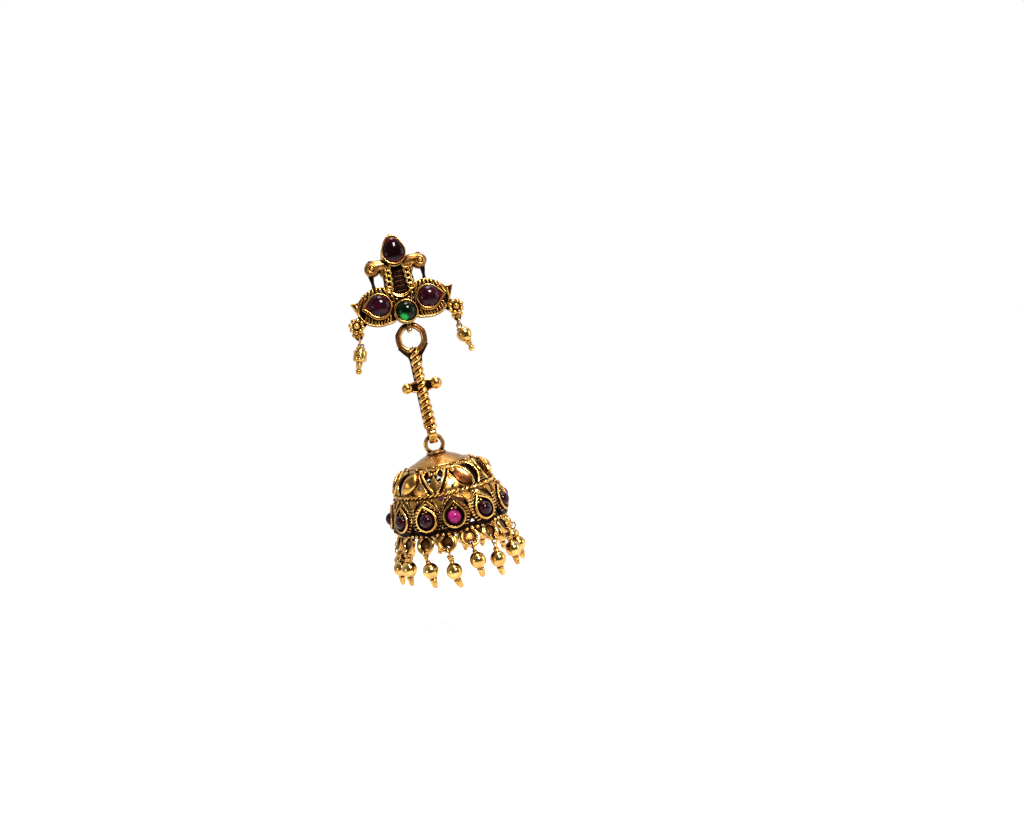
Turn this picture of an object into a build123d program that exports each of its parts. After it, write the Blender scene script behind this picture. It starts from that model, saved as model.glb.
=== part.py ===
from build123d import *
import os
from math import cos, hypot, radians, sin

os.makedirs("parts", exist_ok=True)

# Jhumka earring, the left one of a pair. Millimetres, +Z up, the side that is seen when worn faces -Y.
# The origin is the middle of the stud's flat back, where the post leaves it and enters the ear lobe.
# The stud lies in front of the lobe (y < 0), the twisted bar hangs from it, and the dome hangs from the bar.

# ---- stud -------------------------------------------------------------------------------------------
plate_deep = 1.5            # thickness of the stud's backing plate
rim_high, rim_wide = 0.35, 0.32     # raised rims and ribs above the plate
setting_deep = 3.2          # front of the bezels, from the back plane
seat_deep = 1.9             # floor of each stone seat, from the back plane
stone_gap = 0.04            # clearance round a stone in its seat
sunk = 0.1                  # how far one solid reaches into the next where they join

top_pear = dict(x=0.0, z=6.7, r=2.55, tip=3.25, point=1.25, wall=0.38, turn=0, dome=3.6, high=1.1)
wing_pear = dict(x=5.0, z=-3.6, r=2.55, tip=3.42, point=0.18, wall=0.36, turn=-90, dome=3.1, high=1.35)
step_wide, step_down = 0.28, 0.7    # the ledge round a wing's bezel
green_z, green_r, green_wall, green_dome, green_high = -5.6, 2.36, 0.3, 2.2, 1.15
knob_r = 0.42               # small ball on the top pear's point

wing_points = dict(heel=(1.9, -0.7), crown=(5.2, 0.35), brow=(9.3, -2.5),      # outline of a wing, heel first
                   corner=(9.4, -4.7), belly=(6.6, -7.15), toe=(1.9, -6.3))
tail_points = [(8.7, -1.75), (9.5, -2.0), (10.45, -1.85), (9.8, -3.4), (9.25, -4.75), (8.75, -4.6)]
short_rib = dict(at=3.05, long=1.3, wide=0.26)      # stands round the bezel
short_rib_turns = list(range(25, 150, 14)) + list(range(215, 345, 14))
long_rib = dict(x=8.15, z=-2.6, long=1.9, wide=0.24, turn=58, along=0.42, down=0.25, count=3)

head_x, head_z, head_r = 4.8, 4.0, 1.6
head_back, head_front, head_round = 0.2, 2.3, 0.55
neck_x, neck_up, neck_r = 1.9, 0.5, 0.85
eye_x, eye_ring, eye_wire, pupil_r = 0.15, 0.78, 0.2, 0.42
crest_wide, crest_tall, crest_back, crest_front = 0.75, 0.42, 0.5, 1.9
leg_x, leg_back, leg_front = 5.3, 0.3, 1.4
leg_steps = [(0.5, 2.6), (0.3, 0.9), (0.5, -0.6)]    # half width and height, from the head down
spine_half, spine_z, spine_tall = 1.75, 0.9, 7.6     # panel between the two scalloped chains
spine_edge = 0.6
spine_ribs = dict(count=4, top=3.1, pitch=1.3, tall=0.3)
scallops_at = dict(count=4, x=1.95, lean=0.12, top=3.35, pitch=1.02, r=0.5, wire=0.22)
shelf_z, shelf_wide, shelf_tall = -3.5, 6.4, 4.4     # joins the wings behind the green stone
saddle_z, saddle_wide, saddle_tall, saddle_deep = -2.4, 3.4, 1.2, 2.2

rosette_x, rosette_z, rosette_r, rosette_deep = 10.2, -6.5, 1.2, 1.42
granule_count, granule_r, granule_ring, granule_deep = 8, 0.49, 1.16, 1.35
boss_r, boss_deep = 0.6, 1.8
arm = dict(x=9.1, z=-5.4, turn=-45, long=2.2, wide=1.5, deep=1.1)

# ---- where the bar hangs from the stud ----------------------------------------------------------------
hang_y = -1.1               # plane of the bar's ring, and axis of the bar and the dome
pivot_z = -9.36             # middle of the lug's bar, the pivot of the twisted bar
lug_bar_r = 0.35
lug_half = 0.4
ring_outer, ring_inner, ring_thick, ring_bevel = 3.22, 2.0, 1.1, 0.22
shoulder_r, shoulder_down = 1.15, 3.55     # the ring tapers into the rope
hang_gap = 0.06             # clearance between two links
ring_z = pivot_z + lug_bar_r + hang_gap - ring_inner
lug_back, lug_front = 0.45, 2.2     # depths of the lug's rear leg, and of its front face
slab_front = 1.75           # the room for the ring reaches this far forwards
plate_cut_z = -7.25         # the plate ends here in the ring's slab, clear of its swing

# ---- twisted bar --------------------------------------------------------------------------------------
rope_top, rope_bottom = -13.1, -29.6
rope_lobes = 13
rope_half_top, rope_half_mid, rope_half_bottom = 1.16, 1.02, 1.38
lobe_wire = 0.46
lobe_tilt = 30              # lobes rise to the right
backing_wide, backing_deep, backing_behind = 1.7, 0.5, 0.75     # flat back of the rope
cross_z, cross_half, cross_tall, cross_deep, cross_round = -20.7, 2.4, 1.55, 1.2, 0.3
knob_x, cross_knob_r = 2.95, 1.17
eye_top, eye_bottom, eye_half, eye_deep, eye_low_r, eye_round = -30.5, -32.5, 0.85, 1.15, 0.75, 0.3
bore_r, bore_flare_r, bore_z = 0.62, 1.0, -30.75

# ---- dome ---------------------------------------------------------------------------------------------
bail_r, bail_wire = 1.75, 0.42
dome_pivot_z = bore_z - bore_r + bail_wire + hang_gap   # middle of the bail's top wire
bail_z = dome_pivot_z - bail_r
wall, cut_deep = 0.75, 4.0  # cuts of this depth go right through the wall
cap_profile = [             # outer surface of cap, gallery and band: radius, height
    (0.0, -34.1), (1.9, -34.15), (2.0, -34.6), (3.4, -35.15), (4.8, -35.85), (5.9, -36.5),
    (7.2, -37.1), (8.2, -37.9), (9.0, -39.0), (9.5, -40.3), (9.7, -41.3),
    (10.3, -42.2), (10.9, -43.5), (11.2, -45.4), (11.05, -47.0), (10.75, -48.7)]
crown_inside = [(0.0, -35.4), (1.3, -35.45), (2.2, -35.6)]      # under the cap, below the bail
rope_ring_r, rope_ring_z, rope_ring_wire = 9.75, -41.25, 0.42
cap_edge_r, cap_edge_z, cap_edge_wire = 5.95, -36.5, 0.24
cap_knobs, cap_knob_r, cap_knob_down, cap_knob_out = 12, 0.42, 0.15, 0.1

setting_count = 12
setting_r, setting_z, setting_tilt = 11.3, -45.4, 12    # face of the ribbed border at the stone, and its lean
border_deep = 0.7           # depth of the border behind that face
bezel_back, bezel_proud = -0.2, 0.6     # bezel behind and in front of it
seat_sunk = 0.4             # floor of the seat behind it
dome_pear_r, dome_pear_tip, dome_pear_wall = 2.12, 2.85, 0.36
border_r, border_tip, sharp_point = 2.9, 3.7, 0.18
open_back_r = 0.9
ball_r, ball_proud = 1.36, 0.1

rim_beads, rim_bead_r, rim_bead_at, rim_z = 64, 0.38, 11.08, -48.25
loop_count, loop_first = 16, 7.5
loop_r, loop_wire, loop_at, loop_z, loop_tilt = 1.56, 0.36, 10.97, -49.85, 24
upper_gap = dict(r=8.8, z=-41.95, half=1.25, tall=-2.0)     # pierced triangles between the settings
lower_gap = dict(r=9.2, z=-48.0, half=0.75, tall=1.0)

# ---- gallery motif, repeated three times round the cap ------------------------------------------------
motif_count, motif_first = 3, -17.0
pierced = [                 # side, azimuth from the motif's middle, height, half width, half height, turn
    dict(at=6.9, z=-38.95, wide=0.6, tall=0.7, turn=16),
    dict(at=20.5, z=-39.6, wide=0.85, tall=1.1, turn=0),
    dict(at=47.0, z=-39.3, wide=0.5, tall=0.8, turn=-10)]
pierced_from = 6.4
leaf = dict(at=34.8, z=-39.2, half_long=2.2, half_wide=1.08, turn=-52, proud=0.5, deep=1.0, tilt=28)
v_wire_r, v_wire_sunk = 0.26, 0.05
v_wires = [                 # azimuth and height of both ends
    dict(at0=3.6, z0=-40.95, at1=16.0, z1=-37.5),
    dict(at0=57.5, z0=-38.6, at1=51.0, z1=-40.8)]

# ---- tassels and side drops ---------------------------------------------------------------------------
pin_r, pin_eye_r = 0.17, 0.75
bead_r, bead_bore = 1.54, 0.3
neck_coil_r = 0.5
eye_to_bead, bead_to_lump, bead_to_ball = 3.25, 2.15, 2.75
lump_r, lump_top_r, lump_tall, end_ball_r = 0.85, 0.6, 1.1, 0.5
coil_clear = 0.06           # the wrapped neck ends this far above the bead
tassels = [                 # lean outwards and sideways in degrees, and how much longer than the usual
    dict(out=3, side=6, longer=-0.6), dict(out=4, side=-3, longer=0.4), dict(out=5, side=4, longer=0.2),
    dict(out=8, side=-4, longer=0.5), dict(out=9, side=3, longer=0.0), dict(out=4, side=-5, longer=0.3),
    dict(out=5, side=4, longer=-0.2), dict(out=3, side=-3, longer=0.3), dict(out=4, side=5, longer=0.0),
    dict(out=5, side=-4, longer=0.4), dict(out=3, side=2, longer=-0.3), dict(out=4, side=-5, longer=0.1),
    dict(out=6, side=4, longer=0.3), dict(out=4, side=-7, longer=-0.2), dict(out=3, side=8, longer=-0.1),
    dict(out=4, side=5, longer=0.4)]

drop_y = -0.75
drop_lug_r, drop_lug_wire, drop_lug_down = 0.6, 0.2, 0.28
drop_ring_r, drop_ring_wire = 0.85, 0.2
drop_eye_r, drop_bead_r, drop_lean = 0.5, 1.45, 17
drop_to_bead, drop_to_lump, drop_to_ball = 2.1, 4.25, 5.2

# ---- post ---------------------------------------------------------------------------------------------
post_r, post_long, foot_r, foot_deep = 0.42, 11.0, 1.4, 0.4


# The pieces are made by small functions. Depths on the stud are measured forwards from its back plane.

from_start = (Align.CENTER, Align.CENTER, Align.MIN)


def fused(first, others):
    return first.fuse(*others) if others else first


def stud_block(face, back, front):
    return extrude(Plane.XZ.offset(back) * face, front - back)


def pear(r, tip, point=sharp_point):
    return make_hull(Circle(r).edges() + (Pos(0, tip - point) * Circle(point)).edges())


def scaled_pear(spec, r):
    share = r / spec["r"]
    return pear(r, spec["tip"] * share, spec["point"] * share)


def placed(face, spec, side=1):
    return Pos(side * spec["x"], spec["z"]) * Rot(0, 0, side * spec["turn"]) * face


def ring_on(r, wire, centre, axis):
    return Plane(origin=centre, z_dir=axis) * Torus(r, wire)


def rod(start, end, r):
    run = Vector(*end) - Vector(*start)
    return Plane(origin=start, z_dir=run) * Cylinder(r, run.length, align=from_start)


def ball(centre, r):
    return Pos(*centre) * Sphere(r)


# A plane that stands on the dome's wall: x to the right, y up and z outwards, as seen from outside.
# The azimuth is 0 at the front and grows towards +X.
def station(azimuth, r, z, tilt=0.0):
    a, t = radians(azimuth), radians(tilt)
    return Plane(origin=(r * sin(a), hang_y - r * cos(a), z), x_dir=(cos(a), sin(a), 0),
                 z_dir=(sin(a) * cos(t), -cos(a) * cos(t), sin(t)))


def round_from(first, count):
    return [first + 360 / count * step for step in range(count)]


def wall_radius(z):
    for (r0, z0), (r1, z1) in zip(cap_profile, cap_profile[1:]):
        if z1 <= z <= z0:
            return r0 + (r1 - r0) * (z0 - z) / (z0 - z1)
    return cap_profile[-1][0]


# ---- stud ---------------------------------------------------------------------------------------------

def wing_face():
    at = wing_points
    top = ThreePointArc(at["heel"], at["crown"], at["brow"])
    bottom = ThreePointArc(at["corner"], at["belly"], at["toe"])
    return make_face(top + Line(at["brow"], at["corner"]) + bottom + Line(at["toe"], at["heel"]))


# Short ribs stand round the wing's bezel, and long ones lean across its outer end.
def wing_ribs():
    ribs = []
    for turn in short_rib_turns:
        a = radians(turn)
        middle = Pos(wing_pear["x"] + short_rib["at"] * cos(a), wing_pear["z"] + short_rib["at"] * sin(a))
        ribs.append(middle * Rot(0, 0, turn) * Rectangle(short_rib["long"], short_rib["wide"]))
    for step in range(long_rib["count"]):
        middle = Pos(long_rib["x"] + long_rib["along"] * step, long_rib["z"] - long_rib["down"] * step)
        ribs.append(middle * Rot(0, 0, long_rib["turn"]) * Rectangle(long_rib["long"], long_rib["wide"]))
    return ribs


def wing():
    outline = wing_face()
    plate = stud_block(outline, 0, plate_deep)
    rim = stud_block(outline - offset(outline, -rim_wide), plate_deep - sunk, plate_deep + rim_high)
    tail = stud_block(make_face(Polyline(*tail_points, close=True)), 0, plate_deep - 2 * sunk)
    rib_top = plate_deep + rim_high - sunk / 2
    ribs = [stud_block(face & outline, plate_deep - sunk, rib_top) for face in wing_ribs()]
    return fused(plate, [rim, tail] + ribs)


# A head is a curled comma with a ringed eye, an arched crest above it and a waisted leg below it.
def head():
    curl = make_hull((Pos(head_x, head_z) * Circle(head_r)).edges()
                     + (Pos(neck_x, head_z + neck_up) * Circle(neck_r)).edges())
    body = stud_block(curl, head_back, head_front)
    body = fillet(body.faces().sort_by(Axis.Y)[0].edges(), head_round)
    eye = Plane.XZ.offset(head_front) * Pos(head_x + eye_x, head_z) * Torus(eye_ring, eye_wire)
    pupil = ball((head_x + eye_x, -head_front, head_z), pupil_r)
    arch = Pos(head_x, head_z + head_r) * Ellipse(crest_wide, crest_tall)
    crest = stud_block(arch, crest_back, crest_front)
    left = [(leg_x - half, z) for half, z in leg_steps]
    right = [(2 * leg_x - x, z) for x, z in left[::-1]]
    leg = stud_block(make_face(Polyline(*left, *right, close=True)), leg_back, leg_front)
    return fused(body, [eye, pupil, crest, leg])


def scallops():
    row = scallops_at
    rings = []
    for step in range(row["count"]):
        centre = Pos(row["x"] + row["lean"] * step, row["top"] - row["pitch"] * step)
        rings.append(Plane.XZ.offset(plate_deep + sunk) * centre * Torus(row["r"], row["wire"]))
    return rings


def pear_setting(spec):
    return stud_block(placed(scaled_pear(spec, spec["r"]), spec), 0, setting_deep)


def pear_seat(spec, side=1):
    opening = scaled_pear(spec, spec["r"] - spec["wall"])
    return stud_block(placed(opening, spec, side), seat_deep, 3 * setting_deep)


def pear_step(spec):
    return stud_block(placed(scaled_pear(spec, spec["r"] + step_wide), spec), 0, setting_deep - step_down)


def rosette():
    disc = stud_block(Pos(rosette_x, rosette_z) * Circle(rosette_r), 0, rosette_deep)
    grains = [ball((rosette_x, -boss_deep, rosette_z), boss_r)]
    for step in range(granule_count):
        a = radians(360 / granule_count * (step + 0.5))
        x, z = rosette_x + granule_ring * cos(a), rosette_z + granule_ring * sin(a)
        grains.append(ball((x, -granule_deep, z), granule_r))
    strut = Pos(arm["x"], arm["z"]) * Rot(0, 0, arm["turn"]) * Rectangle(arm["long"], arm["wide"])
    lug = ring_on(drop_lug_r, drop_lug_wire, (rosette_x, drop_y, drop_lug_z), (0, 1, 0))
    return fused(disc, grains + [stud_block(strut, 0, arm["deep"]), lug])


def bar_lug():
    bezel_inside = green_z - green_r + green_wall
    legs = []
    for back, front, top in ((0, lug_back, plate_cut_z + sunk),
                             (slab_front, lug_front, bezel_inside - sunk / 2)):
        leg = Pos(0, (top + pivot_z) / 2) * Rectangle(2 * lug_half, top - pivot_z)
        legs.append(stud_block(leg, back, front))
    return fused(stud_block(Pos(0, pivot_z) * Circle(lug_bar_r), 0, lug_front), legs)


def stud_casting():
    spine = stud_block(Pos(0, spine_z) * Rectangle(2 * (spine_half + spine_edge), spine_tall), 0, plate_deep)
    panel_ribs = []
    for step in range(spine_ribs["count"]):
        z = spine_ribs["top"] - spine_ribs["pitch"] * step
        rib = Pos(0, z) * Rectangle(2 * spine_half, spine_ribs["tall"])
        panel_ribs.append(stud_block(rib, plate_deep - sunk, plate_deep + 2 * sunk))
    shelf = stud_block(Pos(0, shelf_z) * Rectangle(shelf_wide, shelf_tall), 0, plate_deep)
    saddle = stud_block(Pos(0, saddle_z) * Rectangle(saddle_wide, saddle_tall), 0, saddle_deep)
    green = stud_block(Pos(0, green_z) * Circle(green_r), 0, setting_deep)
    half = fused(wing(), [head(), rosette(), pear_step(wing_pear), pear_setting(wing_pear)] + scallops())
    tip_ball = ball((0, -plate_deep - sunk, top_pear["z"] + top_pear["tip"] + knob_r / 3), knob_r)
    other = mirror(half, Plane.YZ)
    body = fused(spine, panel_ribs + [shelf, saddle, green, pear_setting(top_pear), half, other])
    body = fused(body, [tip_ball])
    green_seat = stud_block(Pos(0, green_z) * Circle(green_r - green_wall), seat_deep, 3 * setting_deep)
    below = Pos(0, plate_cut_z - ring_outer) * Rectangle(3 * ring_outer, 2 * ring_outer)
    seats = [pear_seat(top_pear), pear_seat(wing_pear), pear_seat(wing_pear, -1), green_seat]
    body = body - seats - stud_block(below, -1, slab_front)
    return fused(body, [bar_lug()])


# A stone fills its seat, and a ball of radius "dome" rounds its top, "high" in front of the bezel.
def pear_stone(spec, side=1):
    face = placed(scaled_pear(spec, spec["r"] - spec["wall"] - stone_gap), spec, side)
    prism = stud_block(face, seat_deep + stone_gap, 3 * setting_deep)
    middle_y = spec["dome"] - setting_deep - spec["high"]
    return prism & ball((side * spec["x"], middle_y, spec["z"]), spec["dome"])


def green_stone():
    r = green_r - green_wall - stone_gap
    prism = stud_block(Pos(0, green_z) * Circle(r), seat_deep + stone_gap, 3 * setting_deep)
    return prism & ball((0, -(setting_deep + green_high - green_dome), green_z), green_dome)


def ear_post():
    foot = rod((0, 0, 0), (0, foot_deep, 0), foot_r)
    post = rod((0, foot_deep / 2, 0), (0, post_long, 0), post_r)
    return fused(foot, [post, ball((0, post_long, 0), post_r)])


# ---- twisted bar --------------------------------------------------------------------------------------

def rope_half(z):
    t = (rope_top - z) / (rope_top - rope_bottom)
    if t < 0.5:
        return rope_half_top + (rope_half_mid - rope_half_top) * t / 0.5
    return rope_half_mid + (rope_half_bottom - rope_half_mid) * (t - 0.5) / 0.5


def eye_lug():
    shape = make_hull((Pos(hang_y, eye_top) * Circle(eye_deep)).edges()
                      + (Pos(hang_y, eye_bottom + eye_low_r) * Circle(eye_low_r)).edges())
    lug = extrude(Plane.YZ.offset(-eye_half) * shape, 2 * eye_half)
    lug = fillet(lug.edges(), eye_round)
    flare = Cone(bore_r, bore_flare_r, eye_half + sunk, align=from_start)
    flares = [Plane(origin=(0, hang_y, bore_z), z_dir=(side, 0, 0)) * flare for side in (-1, 1)]
    return lug - flares


def bar_ring():
    outline = make_hull((Pos(0, ring_z) * Circle(ring_outer)).edges()
                        + (Pos(0, ring_z - shoulder_down) * Circle(shoulder_r)).edges())
    face = outline - Pos(0, ring_z) * Circle(ring_inner)
    ring = extrude(Plane.XZ.offset(-hang_y - ring_thick / 2) * face, ring_thick)
    faces = ring.faces().filter_by(Axis.Y)
    return chamfer(faces[0].edges() + faces[1].edges(), ring_bevel)


def rope():
    sections = []
    for z in (rope_top, (rope_top + rope_bottom) / 2, rope_bottom):
        sections.append(Plane.XY.offset(z) * Pos(0, hang_y) * Circle(rope_half(z) - lobe_wire * 0.62))
    pitch = (rope_top - rope_bottom) / rope_lobes
    axis = (-sin(radians(lobe_tilt)), 0, cos(radians(lobe_tilt)))
    lobes = []
    for step in range(rope_lobes):
        z = rope_top - pitch * (step + 0.5)
        lobes.append(ring_on(rope_half(z) - lobe_wire, lobe_wire, (0, hang_y, z), axis))
    middle = Pos(0, hang_y + backing_behind, (rope_top + rope_bottom) / 2)
    backing = middle * Box(backing_wide, backing_deep, rope_top - rope_bottom - lobe_wire)
    return loft(sections), lobes + [backing]


def twist_bar():
    core, wrapped = rope()
    arms = Pos(0, hang_y + sunk, cross_z) * Box(2 * cross_half, cross_deep, cross_tall)
    arms = fillet(arms.edges().filter_by(Axis.X), cross_round)
    knobs = [ball((side * knob_x, hang_y - sunk, cross_z), cross_knob_r) for side in (-1, 1)]
    return fused(core, wrapped + [bar_ring(), arms, eye_lug()] + knobs)


# ---- dome ---------------------------------------------------------------------------------------------

def inner_profile():
    points = []
    for i, (r, z) in enumerate(cap_profile):
        r0, z0 = cap_profile[max(i - 1, 0)]
        r1, z1 = cap_profile[min(i + 1, len(cap_profile) - 1)]
        long = hypot(r1 - r0, z1 - z0)
        points.append((max(r + wall * (z1 - z0) / long, 0.0), z - wall * (r1 - r0) / long))
    points[:len(crown_inside)] = crown_inside
    points[-1] = (cap_profile[-1][0] - wall, cap_profile[-1][1])
    return points


def shell():
    outline = cap_profile + inner_profile()[::-1]
    face = Plane.XZ.offset(-hang_y) * make_face(Polyline(*outline, close=True))
    return revolve(face, Axis((0, hang_y, 0), (0, 0, 1)))


def diamond(half_wide, half_tall):
    return make_face(Polyline((-half_wide, 0), (0, -half_tall), (half_wide, 0), (0, half_tall), close=True))


def gallery_holes():
    holes = []
    for middle in round_from(motif_first, motif_count):
        for side in (-1, 1):
            for row in pierced:
                face = Rot(0, 0, side * row["turn"]) * diamond(row["wide"], row["tall"])
                spot = station(middle + side * row["at"], pierced_from, row["z"])
                holes.append(extrude(spot * face, cut_deep + 1))
    return holes


def on_wall(azimuth, z, proud):
    a = radians(azimuth)
    r = wall_radius(z) + proud
    return (r * sin(a), hang_y - r * cos(a), z)


def leaf_on(azimuth, side):
    long, wide = leaf["half_long"], leaf["half_wide"]
    r = (long ** 2 + wide ** 2) / (2 * wide)
    lobe = Pos(0, wide - r) * Circle(r) & Pos(0, r - wide) * Circle(r)
    spot = station(azimuth, wall_radius(leaf["z"]) + leaf["proud"], leaf["z"], leaf["tilt"])
    return extrude(spot * (Rot(0, 0, side * leaf["turn"]) * lobe), -leaf["deep"])


def gallery_relief():
    pieces = []
    for middle in round_from(motif_first, motif_count):
        for side in (-1, 1):
            pieces.append(leaf_on(middle + side * leaf["at"], side))
            for row in v_wires:
                pieces.append(rod(on_wall(middle + side * row["at0"], row["z0"], -v_wire_sunk),
                                  on_wall(middle + side * row["at1"], row["z1"], -v_wire_sunk), v_wire_r))
    return pieces


def band_gaps():
    gaps = []
    for spec in (upper_gap, lower_gap):
        face = make_face(Polyline((-spec["half"], 0), (spec["half"], 0), (0, spec["tall"]), close=True))
        for azimuth in round_from(180 / setting_count, setting_count):
            gaps.append(extrude(station(azimuth, spec["r"], spec["z"]) * face, cut_deep))
    return gaps


def setting(azimuth):
    spot = station(azimuth, setting_r, setting_z, setting_tilt)

    def layer(face, back, front):
        return extrude(spot * Pos(0, 0, back) * face, front - back)

    share = 1 - dome_pear_wall / dome_pear_r
    border = layer(pear(border_r, border_tip), -border_deep, 0)
    bezel = layer(pear(dome_pear_r, dome_pear_tip), bezel_back, bezel_proud)
    seat = layer(pear(dome_pear_r * share, dome_pear_tip * share), -seat_sunk, cut_deep)
    back = layer(Circle(open_back_r), -cut_deep, 1)
    return fused(border, [bezel]) - seat - back


def jhumka_dome():
    body = shell() - gallery_holes()
    body = body - band_gaps()
    azimuths = round_from(0, setting_count)
    spots = [station(azimuth, setting_r, setting_z, setting_tilt) for azimuth in azimuths]
    backs = [extrude(spot * Pos(0, 0, -cut_deep) * Circle(dome_pear_r), 2 * cut_deep) for spot in spots]
    body = body - backs
    body = fused(body, [setting(azimuth) for azimuth in azimuths] + gallery_relief())
    rings = [ring_on(rope_ring_r, rope_ring_wire, (0, hang_y, rope_ring_z), (0, 0, 1)),
             ring_on(cap_edge_r, cap_edge_wire, (0, hang_y, cap_edge_z), (0, 0, 1)),
             ring_on(bail_r, bail_wire, (0, hang_y, bail_z), (0, 1, 0))]
    knob_z = cap_edge_z - cap_knob_down
    knobs = [ball(on_wall(azimuth, knob_z, cap_knob_out), cap_knob_r)
             for azimuth in round_from(motif_first, cap_knobs)]
    loops = [station(azimuth, loop_at, loop_z, loop_tilt) * Torus(loop_r, loop_wire)
             for azimuth in round_from(loop_first, loop_count)]
    beads = [station(azimuth, rim_bead_at, rim_z) * Sphere(rim_bead_r)
             for azimuth in round_from(0, rim_beads)]
    for group in (loops, rings, knobs, beads):
        body = fused(body, group)
    return body


def dome_stone(azimuth):
    spot = station(azimuth, setting_r, setting_z, setting_tilt)
    room = 4 * ball_r
    front = spot * Pos(0, 0, room / 2 + stone_gap - seat_sunk) * Box(room, room, room)
    return (spot * Pos(0, 0, ball_proud) * Sphere(ball_r)) & front


# ---- tassels ------------------------------------------------------------------------------------------

def drilled_bead(frame, drop, r):
    return frame * Pos(0, 0, -drop) * (Sphere(r) - Cylinder(bead_bore, 3 * r))


# A pin hangs down its own -Z from the middle of its eye.
def pin(frame, eye_r, eye_axis, bead_at, bead, lump_at, ball_at_z):
    eye = Plane(origin=(0, 0, 0), z_dir=eye_axis) * Torus(eye_r, pin_r)
    wire = rod((0, 0, -eye_r), (0, 0, -ball_at_z), pin_r)
    coil = rod((0, 0, -eye_r - pin_r), (0, 0, -(bead_at - bead - coil_clear)), neck_coil_r)
    lump = Pos(0, 0, -lump_at) * Cone(lump_top_r, lump_r, lump_tall)
    end = ball((0, 0, -ball_at_z), end_ball_r)
    return frame * fused(wire, [eye, coil, lump, end])


def tassel_frame(step):
    azimuth = loop_first + 360 / loop_count * step
    row = tassels[step]
    low_r = loop_at + loop_r * sin(radians(loop_tilt))
    low_z = loop_z - loop_r * cos(radians(loop_tilt))
    hang_z = low_z + loop_wire + pin_r + hang_gap - pin_eye_r
    across = (cos(radians(azimuth)), sin(radians(azimuth)), 0)
    spot = Plane(origin=station(azimuth, low_r, hang_z).origin, x_dir=across, z_dir=(0, 0, 1))
    return spot.location * Rot(-row["out"], -row["side"], 0)


def drop_frame(side):
    return Pos(side * rosette_x, drop_y, drop_eye_z) * Rot(0, -side * drop_lean, 0)


drop_lug_z = rosette_z - granule_ring - granule_r - drop_lug_down
drop_ring_z = drop_lug_z - drop_lug_r + drop_lug_wire + drop_ring_wire + hang_gap - drop_ring_r
drop_eye_z = drop_ring_z - drop_ring_r + drop_ring_wire + pin_r + hang_gap - drop_eye_r

nodes = {
    "stud_casting": stud_casting(),
    "ear_post": ear_post(),
    "stone_top": pear_stone(top_pear),
    "stone_left": pear_stone(wing_pear, -1),
    "stone_right": pear_stone(wing_pear, 1),
    "stone_green": green_stone(),
    "twist_bar": twist_bar(),
    "jhumka_dome": jhumka_dome(),
}
for name, side in (("left", -1), ("right", 1)):
    hang = (side * rosette_x, drop_y, drop_ring_z)
    nodes["side_ring_" + name] = ring_on(drop_ring_r, drop_ring_wire, hang, (1, 0, 0))
    nodes["side_pin_" + name] = pin(drop_frame(side), drop_eye_r, (0, 1, 0), drop_to_bead, drop_bead_r,
                                    drop_to_lump, drop_to_ball)
    nodes["side_bead_" + name] = drilled_bead(drop_frame(side), drop_to_bead, drop_bead_r)
for step, azimuth in enumerate(round_from(0, setting_count)):
    nodes[f"dome_stone_{step + 1:02d}"] = dome_stone(azimuth)
pins = []
for step in range(loop_count):
    frame = tassel_frame(step)
    drop = eye_to_bead + tassels[step]["longer"]
    nodes[f"tassel_bead_{step + 1:02d}"] = drilled_bead(frame, drop, bead_r)
    pins.append(pin(frame, pin_eye_r, (1, 0, 0), drop, bead_r, drop + bead_to_lump, drop + bead_to_ball))
nodes["tassel_pins"] = Compound(pins)

for name, shape in nodes.items():
    export_step(shape, f"parts/{name}.step")
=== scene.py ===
from math import asin, cos, degrees, pi, radians, sin

import bmesh
import bpy
import numpy as np
from mathutils import Matrix, Vector


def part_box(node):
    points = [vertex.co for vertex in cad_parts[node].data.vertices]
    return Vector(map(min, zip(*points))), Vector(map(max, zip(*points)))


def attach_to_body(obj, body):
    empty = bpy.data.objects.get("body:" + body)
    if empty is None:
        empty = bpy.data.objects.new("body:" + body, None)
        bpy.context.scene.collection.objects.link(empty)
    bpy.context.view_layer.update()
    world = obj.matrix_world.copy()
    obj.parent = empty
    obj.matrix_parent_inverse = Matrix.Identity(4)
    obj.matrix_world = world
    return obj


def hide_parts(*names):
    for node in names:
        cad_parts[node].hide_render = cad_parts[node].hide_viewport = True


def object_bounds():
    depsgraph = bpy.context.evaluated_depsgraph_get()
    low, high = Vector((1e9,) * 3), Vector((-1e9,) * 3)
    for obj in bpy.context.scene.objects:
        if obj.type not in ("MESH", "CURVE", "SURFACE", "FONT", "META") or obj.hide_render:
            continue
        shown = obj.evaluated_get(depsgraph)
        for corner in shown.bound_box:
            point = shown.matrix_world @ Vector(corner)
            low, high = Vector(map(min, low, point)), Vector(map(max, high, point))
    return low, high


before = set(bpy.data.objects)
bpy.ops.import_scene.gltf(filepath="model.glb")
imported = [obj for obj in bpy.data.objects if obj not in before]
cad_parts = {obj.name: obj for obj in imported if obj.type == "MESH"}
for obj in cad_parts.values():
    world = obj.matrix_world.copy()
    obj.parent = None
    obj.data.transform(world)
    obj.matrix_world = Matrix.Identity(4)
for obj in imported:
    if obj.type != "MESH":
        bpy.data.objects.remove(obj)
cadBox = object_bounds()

mm = 0.001          # the shapes below are worked out in millimetres
hangY = -1.1        # the bar and the dome hang this far in front of the stud's back
chance = np.random.default_rng(11)


def nodeMiddle(name):       # the middle of a solid's box, in millimetres
    return np.mean(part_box(name), axis=0) / mm


def attach(piece, body, node):        # the piece takes a solid's place on its body
    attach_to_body(piece, body)
    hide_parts(node)


# small tools for lines and shells

def unit(v):
    v = np.asarray(v, float)
    return v / np.linalg.norm(v)


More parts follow.
